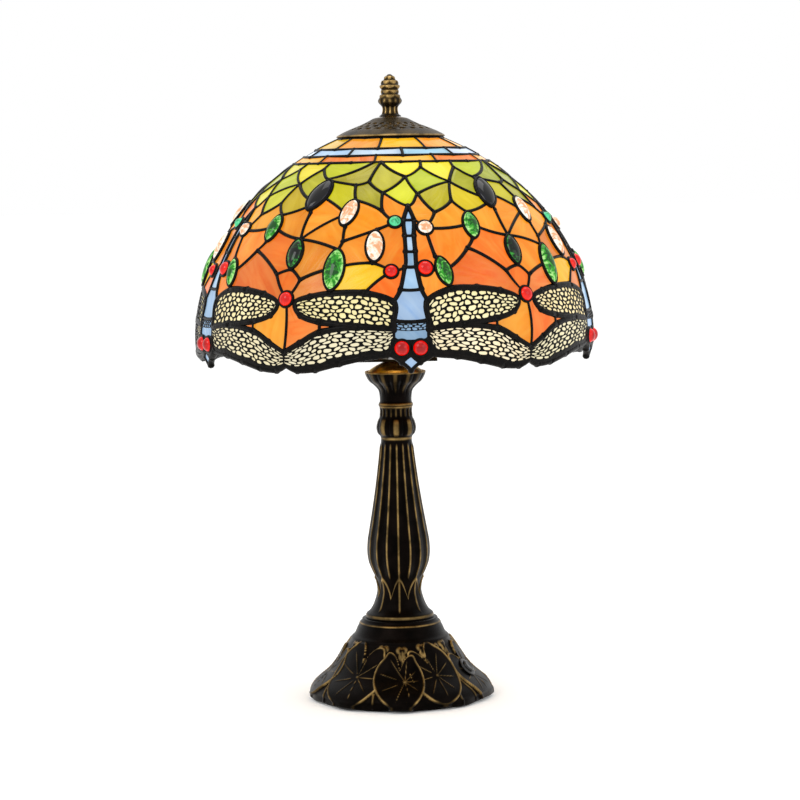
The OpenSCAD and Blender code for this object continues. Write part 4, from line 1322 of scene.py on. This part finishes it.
@dataclass
class Base:
    """The cast foot: a bell of lily pads, stems and buds under a plain band and one ring."""

    outline: tuple = ((65.5, 0.5), (68.6, 0.4), (70, 1.8), (70, 4.6), (69.2, 8), (66.5, 12), (62, 16),
                      (56.5, 20.5), (51.5, 26), (47.8, 31.5), (44.5, 37), (41, 43),
                      (38, 47.2), (35.4, 49.6), (34.1, 52),
                      (33, 54.6), (31.9, 56.6), (31.3, 58.4), (29.4, 60.2), (28.2, 61.9), (20, 61.9))
    inside: tuple = ((5.3, 61.9), (5.3, 54), (26, 54), (30.5, 50), (37, 43), (43.8, 31.5), (52.5, 20.5),
                     (58, 16), (65, 8), (65.4, 3), (65.5, 0.5))
    buds: tuple = ((-19, 4, 0.6), (1.5, 5, 0.4), (24, 3, 1.4), (41, 4, 1.2), (54, 2, 2.4), (-62, 3, 2),
                   (92, 4, 1.5), (-100, 3, 2), (131, 4, 1.5), (-133, 3, 1.6), (166, 4, 1.2))
    pads: tuple[LilyPad, ...] = (
        LilyPad(3, 32.5, 20, 172, 1.22, 2.1, -4.5), LilyPad(31, 28, 21, 200, 1.28, 1.2, -1.5),
        LilyPad(-38, 29, 26, 168, 1.1, 1.1, -2), LilyPad(72, 33, 22, 205, 1.25, 1.3, 2),
        LilyPad(-84, 31, 20, 175, 1.2, 1.2, 2), LilyPad(-116, 29, 21, 190, 1.2, 1.1, -2),
        LilyPad(112, 30, 22, 170, 1.2, 1.1, 2), LilyPad(-150, 32, 19.5, 180, 1.2, 1.8, -3),
        LilyPad(152, 31, 23, 185, 1.15, 1.6, 2), LilyPad(180, 29, 18, 180, 1.2, 1.1),
    )

    def relief(self, az: Array, r: Array, z: Array) -> tuple[Array, Array]:
        """Height and rub of the foot.

        A pad's height is a dished plate inside a wavy round outline with a raised lip, with narrow
        ridges that fan out from its vein centre, and a notch where its stem meets it. Stems are
        narrow ridges that wander up to the buds, and the skirt has a soft scalloped edge.
        """
        wall = band(z, (1.0, 3.0), (45.5, 48))
        slant = np.interp(z, self.skirt()[:, 1], self.distance())
        out = np.zeros(np.broadcast_shapes(az.shape, r.shape))
        rub = np.zeros_like(out)
        for pad in self.pads:
            x = off_line(az, pad.az) * math.radians(1) * r
            y = (slant - pad.drop) / pad.tall
            reach = np.hypot(x, y)
            bearing, around = (off_line(np.arctan2(across, y), math.radians(pad.notch), 2 * math.pi)
                               for across in (x, x - pad.side))
            curl = 0.1 * bell(np.abs(around) - 0.42, 0.16)
            edge = pad.size * (1 + 0.02 * np.cos(3 * around) + curl - 0.55 * bell(around, 0.17))
            part = np.hypot(x - pad.side, y) / edge
            inside = 1 - smooth_step(part, 0.96, 1.02)
            lip = bell((part - 0.96) * edge, 0.6)
            fan = bell(np.sin(bearing * 4.5) * reach, 1.1) * smooth_step(part, 0.08, 0.2)
            fan = fan * (1 - smooth_step(part, 0.6, 0.82)) + 0.8 * bell(reach, 1.0)
            height = inside * (pad.lift + 0.6 * part**2) + 0.55 * lip * inside + 0.5 * fan * inside
            covered = height > out
            out = np.where(covered, height, out)
            rub = np.where(covered & (inside > 0.4), 0.1 * part**3 + 0.7 * lip + 0.45 * fan, rub)
        stem_out, stem_rub = (value * (out < 0.3) for value in self.stems(az, r, slant))
        low = out < 0.4
        out = np.where(low, np.maximum(out, stem_out), out)
        rub = np.where(low, np.maximum(rub, stem_rub), rub)
        ring = bell(z - 58.6, 0.5)
        foot = 1 - smooth_step(z, 5.5, 8)
        scallop = 0.9 * np.cos(np.radians(9 * (az - 3))) * foot
        out = (out * wall - 1.1) * (1 - smooth_step(z, 45.5, 48)) + scallop * (z < 40)
        rub = rub * wall * (1 - 0.8 * foot) + 0.6 * ring + 0.02
        return out, rub

    def skirt(self) -> Array:
        """The outline's rows on the skirt, from the foot's edge up to the plain band."""
        return np.array(self.outline[3:13], float)

    def distance(self) -> list[float]:
        """Slant distance down to each point of the skirt from its top, at rising heights."""
        rows = self.skirt()
        steps = np.linalg.norm(np.diff(rows, axis=0), axis=1)
        return list(steps.sum() - np.concatenate([[0], np.cumsum(steps)]))

    def stems(self, az: Array, r: Array, slant: Array) -> tuple[Array, Array]:
        """Stems and buds between the pads: wavy upright ridges, each with a three-petalled bud on top."""
        out = np.zeros(np.broadcast_shapes(az.shape, r.shape))
        rub = np.zeros_like(out)
        for centre, top, wave in self.buds:
            x = off_line(az, centre) * math.radians(1) * r
            bend = x - wave * np.sin(slant / 7)
            stem = bell(bend, 0.8) * smooth_step(slant, top, top + 3)
            petals = 2.0 + 1.8 * np.abs(np.cos(1.5 * np.arctan2(x, slant - top - 2)))
            bud = np.exp(-((np.hypot(x, (slant - top - 2) / 1.5) / petals) ** 4))
            out = np.maximum(out, np.maximum(0.8 * stem, 1.3 * bud))
            rub = np.maximum(rub, np.maximum(0.5 * stem, 2.2 * bud * (1 - bud)))
        return out, rub

    def build(self, bronze: bpy.types.Material) -> None:
        """Turn the foot, with a plain inner wall."""
        skin = rounded(self.outline, 0.62)
        profile = np.vstack([skin, self.inside])
        foot = turned(profile, 520, self.relief, len(skin) - 8)
        foot.piece("lily_pad_foot", bronze, Body.LAMP, "bronze", ("base_casting",))


@dataclass
class Column:
    """The fluted column with its leaf collar and the flared cup on top."""

    outline: tuple = ((24, 61.9), (26.5, 62), (26.2, 63), (25.5, 64.5), (22.5, 67), (20, 70), (18, 74.5),
                      (16.4, 80), (15.9, 84), (16.8, 90), (19.2, 97), (22.3, 105), (23.4, 113), (23, 121.5),
                      (21.6, 130), (19, 145), (16.6, 160), (14.4, 176), (12.7, 190), (11.9, 199),
                      (12.3, 202.4), (14.2, 205.4), (14.9, 209.5), (13.9, 214), (12.5, 218), (12.1, 222.6),
                      (12.7, 225.2), (12.8, 226), (8, 226))
    bore: tuple = ((6.2, 226), (6.2, 61.9), (24, 61.9))
    cup: tuple = ((8, 226), (12.9, 226), (13.1, 227.6), (12.2, 229.6), (12.4, 234), (13.3, 238.3),
                  (16.3, 242), (20.2, 245.3), (22.4, 249), (23.4, 251.6), (23.2, 252.6),
                  (22, 252.6), (21.5, 251.1), (16, 251))
    cup_bore: tuple = ((5.3, 251), (5.3, 226), (8, 226))
    flutes: int = 16
    leaves: int = 8

    def relief(self, az: Array, r: Array, z: Array) -> tuple[Array, Array]:
        """Flutes with narrow raised ridges, a foot band of pointed leaves and a collar of leaf buds.

        A flute is a shallow hollow between ridges: the depth follows the angle's cosine, and the
        ridge is a bell curve a millimetre wide on each edge.
        """
        pitch = 360 / self.flutes
        off = off_line(az, 0, pitch) * math.radians(1) * r
        shaft = band(z, (92, 98), (193, 199))
        ridge = bell(off, 0.62) * shaft
        hollow = np.cos(np.radians(az * self.flutes)) * shaft
        leaf_pitch = 360 / self.leaves
        side = off_line(az, 0, leaf_pitch) / (leaf_pitch / 2)
        foot = band(z, (63, 65), (96, 100))
        tip = 95 - 15 * np.abs(side) ** 1.5
        body = smooth_step(tip - z, 0, 2.2) * foot
        lip = bell(tip - z - 1.6, 1.1) * foot
        vein = bell(side * r * 0.39, 0.7) * body * smooth_step(z, 66, 70)
        collar = band(z, (202.5, 204.5), (214, 217))
        bud = np.sqrt(np.abs(np.cos(np.radians(az * self.leaves / 2))))
        neck = band(z, (217, 219), (223, 225))
        reed = np.cos(np.radians(az * 20))
        ring = bell(z - 226, 1.3) + bell(z - 201, 0.9) + 0.7 * bell(z - 64, 0.7)
        out = 0.55 * ridge + 0.28 * hollow + 0.75 * body + 0.4 * lip + 0.4 * vein
        out = out + 0.9 * (bud - 0.6) * collar + 0.25 * reed * neck
        rub = 0.03 + 0.62 * ridge + 0.5 * lip + 0.4 * vein + collar * smooth_step(bud, 0.85, 1) * 0.5
        return out, rub + 0.2 * neck * (reed > 0.4) + 0.6 * ring

    def cup_relief(self, az: Array, r: Array, z: Array) -> tuple[Array, Array]:
        """Soft petals up the cup, with a rubbed rim."""
        rise = band(z, (231, 243), (251, 252))
        petal = np.abs(np.cos(np.radians(az * 7)))
        out = 0.7 * (np.sqrt(petal) - 0.7) * rise
        rub = 0.03 + 0.2 * rise * smooth_step(petal, 0.75, 1) + 0.6 * smooth_step(z, 251, 252.2)
        rub = rub + 0.6 * bell(z - 227.4, 0.8)
        return out, rub

    def build(self, bronze: bpy.types.Material) -> None:
        """Turn the column and the cup."""
        skin = rounded(self.outline, 0.85)
        shaft = turned(np.vstack([skin, self.bore]), 384, self.relief, len(skin) - 1)
        shaft.piece("fluted_column", bronze, Body.LAMP, "bronze", ("column_casting",))
        skin = rounded(self.cup, 0.5)
        cup = turned(np.vstack([skin, self.cup_bore]), 168, self.cup_relief, len(skin) - 3)
        cup.piece("flared_cup", bronze, Body.LAMP, "bronze", ("cup_casting",))


# ---- fittings -------------------------------------------------------------------------------
@dataclass
class Fittings:
    """Harp, sleeves, socket, bulb and cup cover, rebuilt with rounded edges and the cap's thread."""

    harp_wire: float = 2.4
    post_x: float = 28.5
    harp_half: float = 43.0
    leg_z: float = 272.0
    loop_z: float = 296.0
    harp_mid_z: float = 370.0
    harp_top_z: float = 433.0
    bulb_z: float = 293.6
    bulb_r: float = 30.0
    thread_pitch: float = 3.6

    def harp(self, bronze: bpy.types.Material) -> None:
        """The harp's loop: straight legs, a smooth swell and half an ellipse, with a boss on top."""
        t = np.linspace(0, 1, 24)
        leg = np.stack([self.post_x + (self.harp_half - self.post_x) * smooth_step(t, 0, 1),
                        self.loop_z + (self.harp_mid_z - self.loop_z) * t], axis=1)
        a = np.linspace(0, math.pi / 2, 28)[1:]
        rise = self.harp_top_z - self.harp_mid_z
        arch = np.stack([self.harp_half * np.cos(a), self.harp_mid_z + rise * np.sin(a)], axis=1)
        half = np.vstack([[[self.post_x, self.leg_z]], leg, arch])
        run = np.vstack([half, (half * [-1, 1])[-2::-1]])
        path = np.stack([run[:, 0], 0 * run[:, 0], run[:, 1]], axis=1)
        out = np.tile([0.0, 1.0, 0.0], (len(path), 1))
        size = np.full(len(path), self.harp_wire)
        loop = swept(path, out, size, size, 18)
        boss = [[0, 430], [5.6, 430], [6, 430.4], [6, 435.6], [5.6, 436], [0, 436]]
        loop.layers = {"rub": np.full(len(loop.points), 0.15)}
        whole = joined([loop, turned(rounded(boss, 0.4, True), 40)])
        whole.piece("harp_loop", bronze, Body.LAMP, "bronze", ("harp",))

    def bulb(self) -> None:
        """A frosted bulb with a rolled screw cap."""
        neck, mid = self.bulb_z + 25, self.bulb_z + 78
        turn = np.radians(np.arange(-38, 91, 8))
        arc = [[self.bulb_r * math.cos(a), mid + self.bulb_r * math.sin(a)] for a in turn]
        stem = [[0, neck], [11.4, neck], [11.8, neck + 4], [14.5, neck + 14], [19.5, neck + 25]]
        profile = rounded([*stem, *arc], 1.2)
        profile[0, 0] = profile[-1, 0] = 0
        frosted = MouldedPiece("frosted_bulb_glass", "#fff1cf", "#ffe6b0", 0.35, 6.0, 0.01, 0.0, 8.0).build()
        turned(profile, 64).piece("bulb_envelope", frosted, Body.BULB, "bulb_glass", ("bulb_glass",))
        cap = rounded([[0, 298.6], [12.4, 298.6], [12.9, 299.4], [12.9, 319.4], [13.6, 321.2], [12.6, 321.6],
                       [12, 320], [12, 318.6], [0, 318.6]], 0.35, True)
        tin = PlainMetal("rolled_tin_plate", "#cfcfc8", "#8f8f88", 0.28).build()

        def thread(az: Array, r: Array, z: Array) -> tuple[Array, Array]:
            """A rolled screw: a wave that climbs 3.6 mm a turn on the cap's outer wall."""
            wall = (r > 12.7) * smooth_step(z, 300, 301.5) * (1 - smooth_step(z, 317, 319))
            wave = 1 + np.cos(2 * math.pi * (z / self.thread_pitch - az / 360))
            return -0.45 * wave * wall, 0 * az * z

        turned(cap, 96, thread).piece("bulb_screw_cap", tin, Body.BULB, "bulb_metal", ("bulb_cap",))

    def socket(self, bronze: bpy.types.Material, brass: bpy.types.Material) -> None:
        """The socket's turned shell with its rolled beads, its cap, and the domed cover in the cup."""
        shell = rounded([[18.7, 284], [19.6, 284], [19.6, 288], [20, 289], [19.6, 290], [19.5, 296],
                         [19.9, 297], [19.5, 298], [19.6, 318], [20.5, 320], [19.7, 321.9],
                         [18.7, 321.9], [18.7, 284]], 0.5, True)
        turned(shell, 72).piece("socket_outer_shell", bronze, Body.LAMP, "bronze", ("socket_shell",))
        cap = rounded([[5, 266], [11.6, 266], [12.6, 266.5], [17, 270.2], [19.2, 276], [19.6, 284],
                       [18.4, 284], [18, 277],
                       [16, 271.5], [11.5, 267.8], [5, 267.8], [5, 266]], 0.5, True)
        turned(cap, 72).piece("socket_base_cap", bronze, Body.LAMP, "bronze", ("socket_cap",))
        self.sleeves(brass)
        cover = rounded([[21.1, 251.1], [21.2, 252.2], [19, 254.2], [15.5, 256.4], [12, 258.2], [8.5, 259.9],
                         [5.2, 260], [5.2, 258.4], [8, 258.3], [11.3, 256.6], [16, 254],
                         [19.6, 251], [21.1, 251.1]], 0.5, True)
        turned(cover, 96).piece("cup_dome_cover", brass, Body.LAMP, "brass", ("cup_cover",))

    def sleeves(self, brass: bpy.types.Material) -> None:
        """The two sleeves that lock the harp's legs, each a tube with eased ends."""
        wall = [[2.5, 262.1], [3.7, 262.1], [4, 262.5], [4, 276.6], [3.7, 277], [2.5, 277], [2.5, 262.1]]
        for name, x, body in (("left", -self.post_x, Body.SLEEVE_LEFT),
                              ("right", self.post_x, Body.SLEEVE_RIGHT)):
            tube = turned(rounded(wall, 0.4, True), 40)
            tube.points = tube.points + [x, 0, 0]
            tube.piece(f"sleeve_{name}", brass, body, "brass", (f"harp_sleeve_{name}",))


@dataclass
class Switch:
    """The press button in its bezel on the skirt of the base."""

    azimuth: float = 70.0
    radius: float = 53.3
    height: float = 24.0
    rise: float = 42.0
    bezel: tuple = ((0, -15), (6, -15), (6.3, -14.6), (6.3, 0.7), (7.5, 0.9), (7.8, 1.4), (7.4, 1.9),
                    (6.4, 2.2), (5.4, 2.1), (5.05, 1.7), (5.05, -6), (0, -6))
    button: tuple = ((0, -3.6), (4.6, -3.6), (4.9, -3.2), (4.9, 2.7), (4.6, 3.4), (3.9, 3.75), (2.6, 3.6),
                     (0, 3.3))

    def placed(self, surface: Surface) -> Surface:
        """Tilt a turned surface until its axis stands out of the skirt, and move it there."""
        a, e = math.radians(self.azimuth - 90), math.radians(self.rise)
        out = np.array([math.cos(e) * math.cos(a), math.cos(e) * math.sin(a), math.sin(e)])
        side = np.array([-math.sin(a), math.cos(a), 0])
        middle = np.array([self.radius * math.cos(a), self.radius * math.sin(a), self.height])
        surface.points = middle + surface.points @ np.stack([np.cross(side, out), side, out])
        return surface

    def build(self, black: bpy.types.Material) -> None:
        """Make the bezel with its barrel, and the dished button."""
        bezel = turned(rounded(self.bezel, 0.4, True), 64)
        self.placed(bezel).piece("switch_bezel", black, Body.LAMP, "black_plastic", ("switch_housing",))
        button = turned(rounded(self.button, 0.3, True), 64)
        self.placed(button).piece("dished_button", black, Body.BUTTON, "black_plastic",
                                  ("switch_button",))


def dress_frame(nodes: dict[str, bpy.types.Object], shared: dict[str, bpy.types.Material]) -> None:
    """Give every CAD node a finish: its own where it has one, and the cast bronze elsewhere.

    Args:
        nodes: the frame's nodes by name.
        shared: finishes already made, by name.
    """
    black = shared["black"]
    zinc = PlainMetal("zinc_plated_steel", "#b4b6b8", "#7c7e82", 0.38).build()
    finishes = {
        "felt_pad": MouldedPiece("green_wool_felt", "#2f4a28", "#1b2f17", 0.95, 0.5, 0.25, 0.4).build(),
        "socket_liner": MouldedPiece("pressed_card", "#8a7858", "#5e4f38", 0.85, 1.0, 0.05).build(),
        "socket_block": MouldedPiece("glazed_porcelain", "#efece2", "#ddd8c8", 0.12, 5.0, 0.01).build(),
        "lead_wires": MouldedPiece("wire_insulation", "#d6cdb8", "#b8ae98", 0.45, 1.5, 0.02).build(),
        **{n: black for n in ("cord_bushing", "switch_housing", "switch_button", "bulb_insulator")},
        **{n: zinc for n in ("bottom_plate", "rod_washer", "rod_nut", "lock_nut", "threaded_rod",
                             "bulb_tip")},
        **{n: shared["brass"] for n in ("harp_stud", "harp_sleeve_left", "harp_sleeve_right", "screw_shell",
                                        "centre_contact", "terminal_screws", "shade_spider")},
        "harp_saddle": AntiqueBronze("browned_steel_strip", rubbed=False).build(),
    }
    for name, node in nodes.items():
        material = finishes.get(name, shared["bronze"])
        node.data.materials.clear()
        node.data.materials.append(material)


# ---- stage ----------------------------------------------------------------------------------
@dataclass
class Studio:
    """A pale floor, soft lights and the camera."""

    distance: float = 1.95
    height: float = 0.395
    pitch_deg: float = 4.835
    roll_deg: float = -1.1
    side: float = 0.0033
    lens: float = 114.5
    floor_reach: float = 40.0
    lights: tuple = (("key", (-1.3, -1.6, 1.7), 1.1, 14.0), ("fill", (1.6, -1.4, 1.0), 1.4, 6.0),
                     ("top", (0.1, 0.4, 2.2), 1.2, 8.0))

    def build(self) -> None:
        """Make the floor, the lights, the sky and the camera."""
        floor = bpy.data.meshes.new("floor")
        far = self.floor_reach
        corners = [(-far, -far, 0), (far, -far, 0), (far, far, 0), (-far, far, 0)]
        floor.from_pydata(corners, [], [(0, 1, 2, 3)])
        ground = bpy.data.objects.new("floor", floor)
        bpy.context.scene.collection.objects.link(ground)
        paper = MouldedPiece("matt_paper", "#fbfbfa", "#f7f7f6", 0.9, 40.0, 0.0, 0.0, 0.14).build()
        floor.materials.append(paper)
        world = bpy.data.worlds.new("studio")
        world.use_nodes = True
        sky = world.node_tree.nodes["Background"]
        settle(world.node_tree, sky, {"Color": (1, 1, 1, 1), "Strength": 1.0})
        bpy.context.scene.world = world
        bpy.context.scene.view_settings.view_transform = "Standard"
        for light in self.lights:
            self.lamp(*light)
        self.camera()

    @staticmethod
    def lamp(name: str, place: tuple[float, float, float], size: float, watts: float) -> None:
        """A square soft light that faces the lamp's middle."""
        data = bpy.data.lights.new(name, "AREA")
        data.size, data.energy = size, watts
        light = bpy.data.objects.new(name, data)
        aim = np.array([0, 0, 0.25]) - np.array(place)
        tilt, bearing = math.atan2(math.hypot(aim[0], aim[1]), -aim[2]), math.atan2(aim[1], aim[0])
        light.rotation_euler = (tilt, 0, bearing - math.pi / 2)
        light.location = place
        bpy.context.scene.collection.objects.link(light)

    def camera(self) -> None:
        """The camera in front of the lamp, level with the shade and a little nose down."""
        data = bpy.data.cameras.new("camera")
        data.lens, data.sensor_width = self.lens, 36.0
        camera = bpy.data.objects.new("camera", data)
        pitch = Matrix.Rotation(math.radians(90 - self.pitch_deg), 4, "X")
        roll = Matrix.Rotation(math.radians(self.roll_deg), 4, "Z")
        camera.matrix_world = Matrix.Translation((self.side, -self.distance, self.height)) @ (pitch @ roll)
        bpy.context.scene.collection.objects.link(camera)
        bpy.context.scene.camera = camera


def main() -> None:
    """Build the lamp piece by piece round the frame."""
    logging.basicConfig(level=logging.INFO, format="%(name)s: %(message)s")
    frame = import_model()
    Studio().build()
    bronze = AntiqueBronze().build()
    brass = PlainMetal("aged_brass", "#c69a4c", "#8a6226", 0.3).build()
    solder = PatinaSolder().build()
    glass = OpalGlass().build()
    black = MouldedPiece("black_phenolic_moulding", "#0d0c0c", "#040404", 0.28, 1.2, 0.01).build()
    dress_frame(frame["nodes"], {"bronze": bronze, "brass": brass, "black": black})
    shade = Shade()
    for group in PANES:
        shade.glass(group, glass)
    shade.beads(solder)
    shade.head(solder)
    Setting(shade).build(solder)
    Filigree(shade).build(solder)
    Cap().build(bronze)
    Finial().build(bronze)
    Base().build(bronze)
    Column().build(bronze)
    fittings = Fittings()
    fittings.harp(bronze)
    fittings.bulb()
    fittings.socket(bronze, brass)
    Switch().build(black)


if __name__ == "__main__":
    main()
